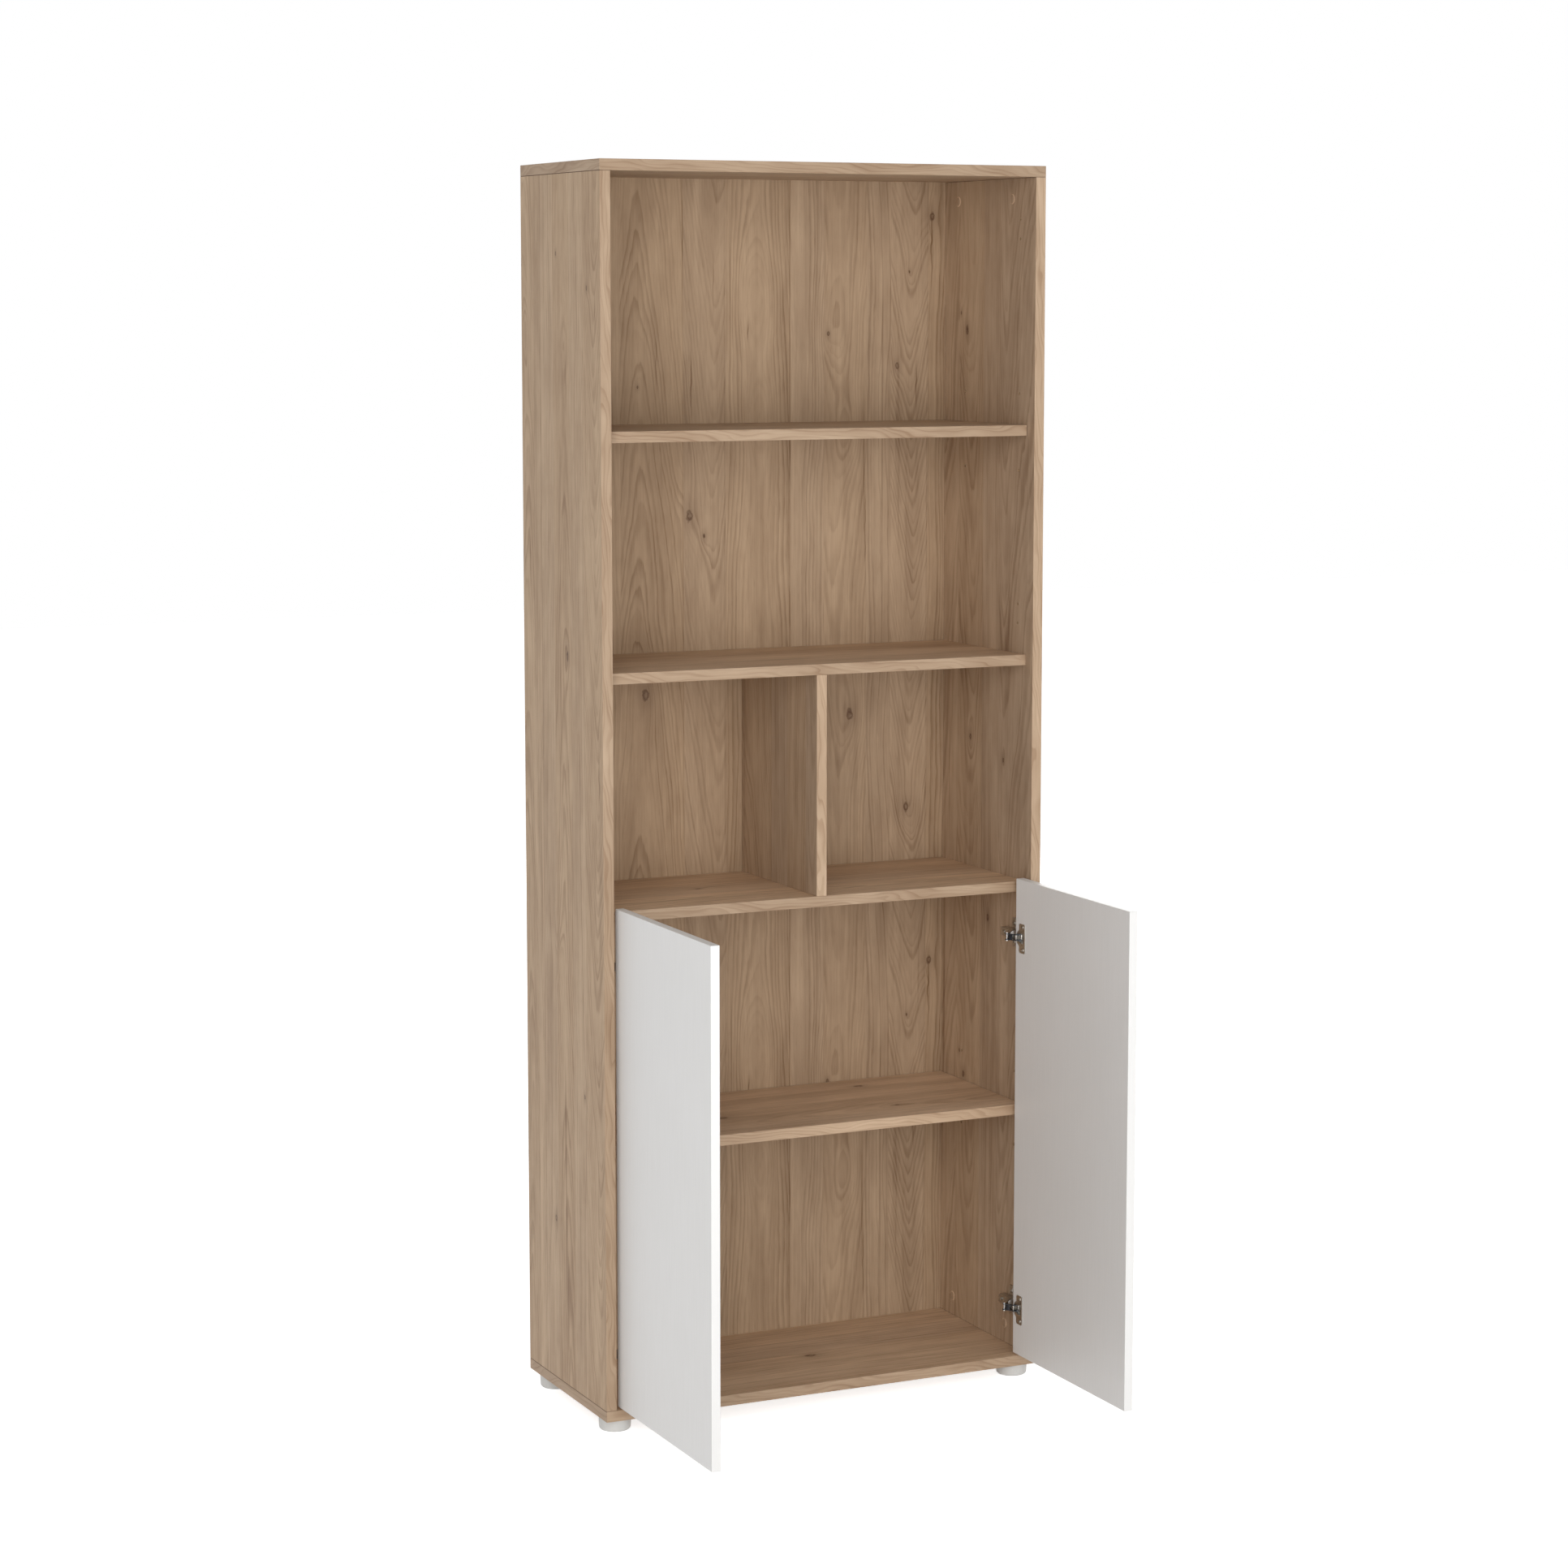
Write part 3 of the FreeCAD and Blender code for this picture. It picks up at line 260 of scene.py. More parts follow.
def makeWoodFigure():
    values = [*staveLabels, "Pull", "Seed", "Ring Spacing", *toneLabels]
    tree, given, out = newGroup("woodFigure", ["Board"], values, woodLabels)
    across, along = split(tree, given["Board"])[:2]
    start, line = given["Start"], given["Line"]
    seed = scaled(tree, start, grain["seedStep"], given["Seed"])

    def field(name, own=seed):
        acrossScale, alongScale, detail = grain["fields"][name]
        place = vector(tree, times(tree, across, acrossScale), times(tree, along, alongScale), own)
        return noise(tree, place, detail)

    def stray(name):
        return spread(tree, field(name), grain[name])

    # distance from the pith of an imagined log that leans along the board
    offset = total(tree, across, times(tree, given["Centre"], -1.0), stray("drift"))
    radius = calc(tree, "SQRT", squares(tree, offset, given["Reach"]))
    grown = total(tree, radius, times(tree, given["Lean"], along), stray("swell"), stray("ragged"),
                  given["Pull"], times(tree, start, grain["startShift"]))
    years = noise(tree, vector(tree, times(tree, grown, grain["yearChanges"]), seed), 1.0)
    growth = total(tree, grown, spread(tree, years, grain["yearSpread"]))
    phase = calc(tree, "FRACT", over(tree, growth, given["Ring Spacing"]))
    late = times(tree, step(tree, phase, *grain["lateRise"]), step(tree, phase, *grain["lateFall"]))
    strong = scaled(tree, step(tree, years, *grain["strongYears"]), *grain["ringStrength"])

    fibre = field("fibre")
    pore = step(tree, field("pore"), *grain["poreLimits"])
    streak = field("streak", total(tree, seed, grain["streakSeed"]))
    centred = {"tone": given["Tone"], "broad": field("broad"), "fibre": fibre,
               "bundle": field("bundle"), "cloud": field("cloud"),
               "mottle": field("mottle", total(tree, seed, grain["mottleSeed"]))}
    added = {"ring": times(tree, late, strong), "pore": pore,
             "streak": step(tree, streak, *grain["streakLimits"]), "line": line}
    darkness = grain["darkness"]
    mark = total(tree, *(spread(tree, value, darkness[name]) for name, value in centred.items()),
                 *(times(tree, value, darkness[name]) for name, value in added.items()))
    factor = scaled(tree, mark, given["Contrast"], grain["middle"], clamp=True)
    plain = blend(tree, factor, given["Light Colour"], given["Dark Colour"])
    draw = calc(tree, "FRACT", times(tree, start, grain["saturationDraw"]))
    tinted = put(tree, "ShaderNodeHueSaturation",
                 {"Color": plain, "Saturation": scaled(tree, draw, *grain["saturation"])})
    give(tree, out, Colour=tinted.outputs["Color"],
         Roughness=total(tree, weighted(tree, (fibre, pore), grain["roughMarks"]), grain["rough"]),
         Height=weighted(tree, (pore, fibre, line), grain["relief"]))
    return tree


knotForm = {
    "wanderPerMetre": 110.0, "ragged": 1.5,
    "swellLength": 2.6, "swellPull": -0.8,  # rings pushed aside round the knot
    "coreLength": 1.7, "heart": (1.2, 0.5), "heartShade": (0.9, 0.45),
    "pale": (0.5, 0.1), "paleShade": -0.35,  # paler middle
    "haloFall": 0.22, "haloShade": 0.3,
}


def makeKnotMark():
    tree, given, out = newGroup("knotMark", ["Board", "Centre"], ["Size", "Swell"],
                                ["Pull", "Core"])
    form, swell = knotForm, given["Swell"]
    away = split(tree, vectorCalc(tree, "SUBTRACT", given["Board"], given["Centre"]))
    wander = noise(tree, given["Board"], 3.0, form["wanderPerMetre"])

    def distance(width, length):  # squared, with the knot drawn out along the grain
        return squares(tree, over(tree, away[0], width),
                       over(tree, away[1], times(tree, width, length)))

    bulge = bell(tree, distance(swell, form["swellLength"]))
    near = calc(tree, "SQRT", distance(given["Size"], form["coreLength"]))
    ragged = total(tree, near, spread(tree, wander, form["ragged"]))
    heart = times(tree, step(tree, ragged, *form["heart"]),
                  scaled(tree, wander, *form["heartShade"]))
    pale = scaled(tree, step(tree, ragged, *form["pale"]), form["paleShade"], 1.0)
    halo = times(tree, bell(tree, times(tree, near, near), form["haloFall"]), form["haloShade"])
    give(tree, out, Pull=times(tree, bulge, times(tree, swell, form["swellPull"])),
         Core=calc(tree, "MAXIMUM", times(tree, heart, pale), halo))
    return tree


streakForm = {"wanderPerMetre": 30.0, "wander": 5.0}


def makeDarkStreak():
    tree, given, out = newGroup("darkStreak", ["Board", "Centre"], ["Width", "Length"], ["Mask"])
    width, length = given["Width"], given["Length"]
    away = split(tree, vectorCalc(tree, "SUBTRACT", given["Board"], given["Centre"]))
    wander = noise(tree, vector(tree, length, times(tree, away[1], streakForm["wanderPerMetre"])))
    bend = times(tree, spread(tree, wander, streakForm["wander"]), width)
    sideways = over(tree, total(tree, away[0], bend), width)
    give(tree, out, Mask=bell(tree, squares(tree, sideways, over(tree, away[1], length))))
    return tree


edgeGrain = {
    "fields": {"warp": (22.0, 6.0, 2.0), "patch": (60.0, 7.0, 3.0), "fibre": (900.0, 14.0, 2.0)},
    "warp": 0.06, "slant": 0.09, "yearChanges": 90.0, "yearSpread": 0.012, "ringSpacing": 0.0075,
    "lateRise": (0.45, 0.9), "lateFall": (1.0, 0.91), "broadChanges": 4.0,
    "darkness": (0.9, 0.5, 0.3), "ringDarkness": 0.45,  # patch, broad and fibre; then the rings
    "middle": 0.33, "rough": (0.14, 0.4), "relief": -0.4,
}


def makeEdgeFigure():
    tree, given, out = newGroup("edgeFigure", ["Board"], ["Seed", *toneLabels], woodLabels)
    across, along = split(tree, given["Board"])[:2]
    form, seed = edgeGrain, given["Seed"]

    def field(name, sideways):
        sideScale, alongScale, detail = form["fields"][name]
        place = vector(tree, times(tree, sideways, sideScale), times(tree, along, alongScale), seed)
        return noise(tree, place, detail)

    warp = spread(tree, field("warp", across), form["warp"])
    slant = total(tree, times(tree, along, form["slant"]), across, warp)
    patch, fibre = field("patch", slant), field("fibre", across)
    broad = noise(tree, vector(tree, seed, times(tree, along, form["broadChanges"])), 1.0)
    years = noise(tree, vector(tree, times(tree, slant, form["yearChanges"]), seed), 1.0)
    growth = total(tree, slant, spread(tree, years, form["yearSpread"]))
    phase = calc(tree, "FRACT", over(tree, growth, form["ringSpacing"]))
    late = times(tree, step(tree, phase, *form["lateRise"]),
                 step(tree, phase, *form["lateFall"]))
    marks = zip((patch, broad, fibre), form["darkness"])
    mark = total(tree, *(spread(tree, value, amount) for value, amount in marks),
                 times(tree, times(tree, late, patch), form["ringDarkness"]))
    factor = scaled(tree, mark, given["Contrast"], form["middle"], clamp=True)
    give(tree, out, Colour=blend(tree, factor, given["Light Colour"], given["Dark Colour"]),
         Roughness=scaled(tree, fibre, *form["rough"]),
         Height=times(tree, fibre, form["relief"]))
    return tree


stavePrint = makeStavePrint()
woodFigure = makeWoodFigure()
knotMark = makeKnotMark()
darkStreak = makeDarkStreak()
edgeFigure = makeEdgeFigure()

decor = {
    "faceLight": srgb(203, 178, 151), "faceDark": srgb(130, 102, 78), "faceContrast": 1.0,
    "edgeLight": srgb(190, 165, 139), "edgeDark": srgb(145, 116, 90), "edgeContrast": 1.2,
    "knotColour": srgb(88, 61, 43), "knotStrength": 0.95, "leastKnot": 0.0005,
    "staveWidth": 0.078, "ringSpacing": 0.0066,
    "specular": 0.22, "relief": 0.00012, "reliefStrength": 0.6,
}


def boardPlace(tree, place, across, along, offset):
    parts = split(tree, place)
    return vector(tree, *(total(tree, parts[axes.index(axis)], shift)
                          for axis, shift in zip((across, along), offset)))


def addKnots(tree, board, knots, offset=(0.0, 0.0)):
    pull, core = 0.0, None
    for spotAcross, spotAlong, size, swell in knots:
        spot = (spotAcross + offset[0], spotAlong + offset[1], 0.0)
        mark = useGroup(tree, knotMark, Board=board, Centre=spot, Swell=swell,
                        Size=max(size, decor["leastKnot"]))
        pull = total(tree, mark["Pull"], pull)
        if size > 0:
            core = mark["Core"] if core is None else calc(tree, "MAXIMUM", core, mark["Core"])
    return pull, core


def finishWood(tree, shader, figure, core=None):
    colour = figure["Colour"]
    if core is not None:
        colour = blend(tree, times(tree, core, decor["knotStrength"]), colour, decor["knotColour"])
    give(tree, shader.inputs, Base_Color=colour, Roughness=figure["Roughness"],
         Specular_IOR_Level=decor["specular"])
    addBump(tree, shader, figure["Height"], decor["relief"], decor["reliefStrength"])


# shade lightens or darkens the whole print of this board: painted light
def makeFaceWood(name, across, along, offset, seed, knots=(), shade=1.0):
    material, tree, shader, place = newMaterial(name)
    board = boardPlace(tree, place, across, along, offset)
    laid = useGroup(tree, stavePrint, Board=board, Stave_Width=decor["staveWidth"], Seed=seed)
    pull, core = addKnots(tree, board, knots, offset)
    figure = useGroup(tree, woodFigure, Board=board, Pull=pull, Seed=seed,
                      Ring_Spacing=decor["ringSpacing"], Contrast=decor["faceContrast"],
                      Light_Colour=withPaintedLight(decor["faceLight"], shade),
                      Dark_Colour=withPaintedLight(decor["faceDark"], shade),
                      **{label: laid[label] for label in staveLabels})
    finishWood(tree, shader, figure, core)
    return material


# shade lightens or darkens the whole band: painted light
def makeEdgeWood(name, across, along, offset, seed, shade):
    material, tree, shader, place = newMaterial(name)
    board = boardPlace(tree, place, across, along, offset)
    figure = useGroup(tree, edgeFigure, Board=board, Seed=seed, Contrast=decor["edgeContrast"],
                      Light_Colour=withPaintedLight(decor["edgeLight"], shade),
                      Dark_Colour=withPaintedLight(decor["edgeDark"], shade))
    finishWood(tree, shader, figure)
    return material


# boards whose print is laid out stave by stave; the back's print repeats behind the lower shelf
backPrint = {
    "across": "X", "from": -0.4, "to": 0.4, "repeat": 1.3, "repeatAt": 0.847, "seed": 3.0,
    "light": srgb(195, 169, 140), "dark": srgb(120, 93, 68), "contrast": 0.98,
    # far edge, figure centre, reach, lean, start, tone
    "staves": [
        (-0.31, -0.35, 0.02, 0.08, 0.11, 0.45), (-0.233, -0.43, 0.04, 0.012, 0.62, 0.6),
        (-0.117, -0.2, 0.016, 0.11, 0.37, 0.45), (-0.04, -0.055, 0.01, -0.15, 0.83, 0.4),
        (0.082, 0.022, 0.026, 0.03, 0.21, 0.55), (0.144, 0.3, 0.04, 0.015, 0.55, 0.35),
        (0.227, 0.172, 0.022, -0.06, 0.71, 0.58), (0.272, 0.42, 0.05, -0.01, 0.29, 0.4),
        (0.345, 0.315, 0.008, -0.24, 0.94, 0.55), (0.4, 0.52, 0.05, 0.012, 0.47, 0.7),
    ],
    # across, half width, strength
    "lines": [(-0.117, 0.001, 0.35), (-0.04, 0.0008, 0.25), (0.082, 0.0012, 0.55),
              (0.345, 0.0009, 0.3)],
    # across, along, half width, half length, strength
    "streaks": [
        (-0.101, 1.69, 0.0011, 0.045, 0.9), (-0.165, 1.735, 0.0008, 0.04, 0.6),
        (-0.116, 1.93, 0.0009, 0.05, 0.6), (0.004, 1.78, 0.0009, 0.014, 0.9),
        (0.353, 1.93, 0.0016, 0.045, 0.9), (0.324, 1.69, 0.0012, 0.03, 0.7),
        (-0.06, 1.86, 0.0009, 0.05, 0.5), (0.226, 1.45, 0.001, 0.06, 0.6),
    ],
    # across, along, knot size (0 for a figure with no knot), swell
    "knots": [
        (0.02, 1.834, 0.0, 0.032), (0.023, 1.64, 0.0, 0.026), (0.166, 1.8, 0.0, 0.028),
        (0.155, 1.773, 0.003, 0.009), (0.287, 1.718, 0.0042, 0.012),
        (0.31, 1.879, 0.002, 0.007), (0.354, 1.974, 0.0055, 0.016),
        (-0.199, 1.686, 0.0019, 0.006), (-0.105, 1.468, 0.007, 0.022),
        (-0.078, 1.434, 0.0032, 0.01), (-0.187, 1.169, 0.0075, 0.024),
        (0.197, 1.118, 0.0072, 0.024), (0.307, 0.949, 0.006, 0.02), (0.191, 1.603, 0.0, 0.022),
    ],
}
leftPrint = {
    "across": "Y", "from": 0.0, "to": 0.36, "repeat": 0.0, "repeatAt": 0.0, "seed": 12.0,
    "light": srgb(205, 178, 147), "dark": srgb(133, 102, 74), "contrast": 1.15,
    "staves": [
        (0.085, 0.034, 0.012, -0.16, 0.3, 0.5), (0.143, 0.3, 0.04, 0.012, 0.66, 0.4),
        (0.213, 0.172, 0.02, 0.06, 0.18, 0.55), (0.269, 0.45, 0.05, -0.01, 0.52, 0.42),
        (0.298, 0.1, 0.05, 0.01, 0.8, 0.45), (0.36, 0.335, 0.018, 0.09, 0.42, 0.66),
    ],
    "lines": [(0.269, 0.001, 0.6), (0.143, 0.0008, 0.25)],
    "streaks": [
        (0.034, 1.808, 0.0011, 0.03, 0.8), (0.027, 1.068, 0.0016, 0.03, 0.9),
        (0.16, 1.7, 0.002, 0.04, 0.4), (0.1, 0.7, 0.0012, 0.04, 0.6),
        (0.24, 1.42, 0.0011, 0.05, 0.5),
    ],
    "knots": [
        (0.199, 1.905, 0.0024, 0.009), (0.068, 1.849, 0.0028, 0.01), (0.157, 1.755, 0.0, 0.024),
        (0.159, 1.259, 0.0055, 0.02), (0.332, 1.786, 0.0, 0.022), (0.226, 0.313, 0.0042, 0.015),
        (0.096, 0.543, 0.0032, 0.011), (0.205, 0.75, 0.0, 0.022), (0.06, 1.51, 0.0, 0.014),
    ],
}
lineCore = 0.2  # the share of a line's half width that is fully dark
rampShift, rampReach = 0.5, 10.0  # bring a stave's values into the 0 to 1 of a colour ramp


def staveRamp(tree, where, layout, columns):
    ramp = put(tree, "ShaderNodeValToRGB", {"Fac": where})
    ramp.color_ramp.interpolation = "CONSTANT"
    points = ramp.color_ramp.elements
    start, end = layout["from"], layout["to"]
    edge = start
    for count, values in enumerate(columns):
        position = (edge - start) / (end - start)
        point = points[count] if count < 2 else points.new(position)  # a new ramp has two points
        point.position = position
        point.color = (*values, 1.0)
        edge = layout["staves"][count][0]
    return channels(tree, ramp.outputs["Color"])


def makePrintedWood(name, layout):
    material, tree, shader, place = newMaterial(name)
    parts = split(tree, place)
    across = parts[axes.index(layout["across"])]
    lower = calc(tree, "LESS_THAN", parts[2], layout["repeatAt"])
    board = vector(tree, across, scaled(tree, lower, layout["repeat"], parts[2]))
    where = put(tree, "ShaderNodeMapRange", {"Value": across, "From Min": layout["from"],
                                             "From Max": layout["to"]}).outputs["Result"]
    rows = layout["staves"]
    centre, reach, lean = staveRamp(tree, where, layout, [
        (row[1] + rampShift, row[2] * rampReach, row[3] + rampShift) for row in rows])
    start, tone = staveRamp(tree, where, layout, [(row[4], row[5], 0.0) for row in rows])[:2]
    line = 0.0
    for spot, half, strength in layout["lines"]:
        away = calc(tree, "ABSOLUTE", minus(tree, across, spot))
        line = total(tree, times(tree, step(tree, away, half, half * lineCore), strength), line)
    for spotAcross, spotAlong, half, length, strength in layout["streaks"]:
        streak = useGroup(tree, darkStreak, Board=board, Centre=(spotAcross, spotAlong, 0.0),
                          Width=half, Length=length)
        line = total(tree, times(tree, streak["Mask"], strength), line)
    pull, core = addKnots(tree, board, layout["knots"])
    figure = useGroup(tree, woodFigure, Board=board, Centre=minus(tree, centre, rampShift),
                      Reach=times(tree, reach, 1 / rampReach), Lean=minus(tree, lean, rampShift),
                      Start=start, Tone=tone, Line=line, Pull=pull, Seed=layout["seed"],
                      Ring_Spacing=decor["ringSpacing"], Light_Colour=layout["light"],
                      Dark_Colour=layout["dark"], Contrast=layout["contrast"])
    finishWood(tree, shader, figure, core)
    return material


chips = {"fineScale": 2.1, "weights": (0.5, 0.5), "rough": (0.2, 0.75), "relief": 0.0003}


def makeRawBoard(name, dark, light, chipScale):
    material, tree, shader, place = newMaterial(name)
    flakes = put(tree, "ShaderNodeTexVoronoi",
                 {"Vector": place, "Scale": chipScale, "Randomness": 1.0})
    shade = channels(tree, flakes.outputs["Color"])[0]
    fine = noise(tree, place, 3.0, chipScale * chips["fineScale"])
    mark = weighted(tree, (shade, fine), chips["weights"])
    give(tree, shader.inputs, Base_Color=blend(tree, mark, dark, light),
         Roughness=scaled(tree, mark, *chips["rough"]))
    addBump(tree, shader, mark, chips["relief"])
    return material


rawBoard = makeRawBoard("rawChipboard", srgb(140, 112, 80), srgb(186, 157, 120), 420.0)
# a dark board colour for arris faces at joints: mostly painted shade in the crevice between boards,
# partly the darker raw edge there
jointShadowLine = makeRawBoard("jointShadow", srgb(84, 63, 46), srgb(110, 86, 64), 600.0)
hardboard = makeRawBoard("hardboardRear", srgb(142, 114, 86), srgb(168, 140, 110), 700.0)
print("wood materials ready")


# white laminate, plastic and metals

speckle = {"cloudScale": 5.0, "grain": 1.0, "cloud": 0.8}
# light and dark colour, specks per metre across and along, contrast, roughness and its spread,
# relief, then metal and specular where they differ
finishTable = {
    "whiteLaminate": (srgb(233, 232, 231), srgb(226, 225, 223), (420.0, 14.0), 0.9,
                      0.36, 0.14, 0.00002),
    "whiteEdgeBand": (srgb(242, 241, 239), srgb(237, 236, 234), (500.0, 20.0), 0.8,
                      0.32, 0.12, 0.00002),
    "whitePlastic": (srgb(214, 213, 210), srgb(202, 201, 198), (600.0, 600.0), 0.8,
                     0.38, 0.16, 0.00003),
    "satinNickel": ((0.62, 0.6, 0.56, 1.0), (0.44, 0.42, 0.39, 1.0), (900.0, 160.0), 0.9,
                    0.22, 0.18, 0.000012, 1.0),
    "blackenedLink": ((0.075, 0.082, 0.095, 1.0), (0.04, 0.044, 0.05, 1.0),
                      (900.0, 300.0), 0.9, 0.24, 0.2, 0.000012, 0.85),
    "dullZinc": ((0.56, 0.57, 0.58, 1.0), (0.38, 0.39, 0.4, 1.0), (500.0, 500.0), 0.9,
                 0.38, 0.22, 0.00003, 1.0),
    "brightSteel": ((0.66, 0.66, 0.66, 1.0), (0.5, 0.5, 0.51, 1.0), (700.0, 60.0), 0.8,
                    0.2, 0.14, 0.000008, 1.0),
    "beechDowel": (srgb(222, 190, 148), srgb(190, 150, 106), (260.0, 260.0), 1.0,
                   0.55, 0.2, 0.00004, 0.0, 0.3),
}


def makeStipple():
    tree, given, out = newGroup("stipple", ["Place", "Stretch"], ["Amount"], ["Shade", "Grain"])
    fine = noise(tree, vectorCalc(tree, "MULTIPLY", given["Place"], given["Stretch"]), 3.0)
    cloud = noise(tree, given["Place"], 2.0, speckle["cloudScale"])
    shade = total(tree, spread(tree, fine, speckle["grain"]), spread(tree, cloud, speckle["cloud"]))
    give(tree, out, Shade=scaled(tree, shade, given["Amount"], 0.5, clamp=True), Grain=fine)
    return tree


stipple = makeStipple()


def makeFinish(name, light, dark, specks, amount, rough, roughSpread, relief, metal=0.0,
               specular=0.5):
    material, tree, shader, place = newMaterial(name)
    spots = useGroup(tree, stipple, Place=place, Amount=amount,
                     Stretch=(specks[0], specks[0], specks[1]))
    give(tree, shader.inputs, Base_Color=blend(tree, spots["Shade"], light, dark),
         Roughness=scaled(tree, spots["Grain"], roughSpread, rough), Metallic=metal,
         Specular_IOR_Level=specular)
    addBump(tree, shader, spots["Grain"], relief)
    return material


finishes = {name: makeFinish(name, *values) for name, values in finishTable.items()}
print("door, plastic and metal finishes ready")


# panels: copies of the CAD boards with their arrises broken, and a banded edge wherever one shows

panels = {
    "weld": 1e-6, "onBox": 1e-5, "flat": math.radians(0.5), "arris": 0.0006, "arrisSteps": 2,
    "faceTurn": 0.6, "faceReach": 0.0004, "bandTurn": 0.3, "bandReach": 0.0012, "bandSeed": 40.0,
    "sideInner": 0.3795, "slopeLimit": 0.98, "backTurn": 0.5,
    # each board's shade factor lightens or darkens its print against the others: painted light,
    # standing in for light that falls unevenly on boards of one decor
    "common": {"across": "Y", "along": "X", "bands": ["-Y"], "shade": 1.0, "bandPaintedLight": 1.0,
               "joints": [], "knots": [], "print": None},
    "boards": {  # offset and seed choose the part of the print
        "left_side_panel": {"along": "Z", "offset": (0.31, 0.0), "seed": 2.0,
                            "joints": ["-Z", "+Z"], "print": leftPrint},
        "right_side_panel": {
            "along": "Z", "offset": (1.13, 0.4), "seed": 5.0, "shade": 1.02, "bandPaintedLight": 1.14,
            "joints": ["-Z", "+Z"],
            "knots": [(0.25, 1.779, 0.0055, 0.02), (0.272, 1.809, 0.0022, 0.008),
                      (0.163, 0.774, 0.0052, 0.018), (0.264, 0.522, 0.0026, 0.008),
                      (0.249, 0.483, 0.0048, 0.016), (0.23, 1.081, 0.0042, 0.015),
                      (0.111, 1.053, 0.003, 0.01)]},
        "top_panel": {"offset": (0.5, 0.0), "seed": 8.0, "bands": ["-Y", "-X", "+X"],
                      "bandPaintedLight": 0.95, "joints": ["-Z"]},
        "bottom_panel": {
            "offset": (0.9, 0.6), "seed": 11.0, "bands": ["-Y", "-X", "+X"], "shade": 1.32,
            "joints": ["+Z"],
            "knots": [(0.161, 0.041, 0.0068, 0.022), (0.25, -0.21, 0.003, 0.01)]},
        "upper_shelf": {"offset": (1.7, 0.2), "seed": 14.0},
        "middle_shelf": {"offset": (2.3, 0.8), "seed": 17.0, "shade": 1.28},
        "lower_shelf": {"offset": (2.9, 1.4), "seed": 20.0, "shade": 1.4,
                        "knots": [(0.19, -0.155, 0.0032, 0.012)]},
        "cabinet_shelf": {
            "offset": (3.4, 2.1), "seed": 23.0, "shade": 1.42, "bandPaintedLight": 1.2,
            "knots": [(0.279, 0.189, 0.0062, 0.02), (0.117, 0.183, 0.0032, 0.01),
                      (0.15, -0.128, 0.006, 0.018)]},
        "divider": {"along": "Z", "offset": (3.9, 0.5), "seed": 26.0, "shade": 0.94,
                    "bandPaintedLight": 1.17},
    },
}
faceSlot, rawSlot, jointShadowSlot, bandSlot = range(4)  # a board's materials, the bands last


def weldedCopy(nodeName):
    work = bmesh.new()
    work.from_mesh(nodes[nodeName].data)
    bmesh.ops.remove_doubles(work, verts=work.verts, dist=panels["weld"])
    return work


def nodeCopy(nodeName):
    work = weldedCopy(nodeName)
    bmesh.ops.dissolve_limit(work, angle_limit=panels["flat"], verts=work.verts, edges=work.edges)
    return work


def outerEdges(work, low, high):
    def planes(vert):
        return {k for k in range(3)
                if min(abs(vert.co[k] - low[k]), abs(vert.co[k] - high[k])) < panels["onBox"]}
    return [edge for edge in work.edges
            if len(planes(edge.verts[0]) & planes(edge.verts[1])) >= 2]


def breakArrises(work, nodeName, width, steps):
    low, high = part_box(nodeName)
    bmesh.ops.bevel(work, geom=outerEdges(work, low, high), offset=width, segments=steps,
                    profile=0.5, affect="EDGES", clamp_overlap=True)


def smoothShade(mesh, angle):
    mesh.polygons.foreach_set("use_smooth", [True] * len(mesh.polygons))
    mesh.set_sharp_from_angle(angle=angle)


def newPiece(name, mesh):
    piece = bpy.data.objects.new(name, mesh)
    bpy.context.scene.collection.objects.link(piece)
    return piece


def workMesh(work, name):
    mesh = bpy.data.meshes.new(name)
    work.to_mesh(mesh)
    work.free()
    return mesh


def appliedMesh(piece, modifier):  # the piece's mesh with its modifier worked in
    graph = bpy.context.evaluated_depsgraph_get()
    mesh = bpy.data.meshes.new_from_object(piece.evaluated_get(graph), depsgraph=graph)
    piece.modifiers.remove(modifier)
    piece.data = mesh
    return mesh


def placePiece(piece, body, slotName, *replaced):
    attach(piece, body)
    if replaced:
        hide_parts(*replaced)


def finishPiece(work, name, materials, body, slotName, *replaced):
    mesh = workMesh(work, name)
    for material in materials:
        mesh.materials.append(material)
    placePiece(newPiece(name, mesh), body, slotName, *replaced)


# each board's band factor lightens or darkens its edge band against the others: painted light
def bandWood(nodeName, band, values, count):
    length = values["along"] if band[1] != values["along"] else values["across"]
    thick = next(axis for axis in axes if axis not in (band[1], length))
    return makeEdgeWood(f"{nodeName}Band{count}", thick, length, values["offset"],
                        values["seed"] + panels["bandSeed"] + count, values["bandPaintedLight"])


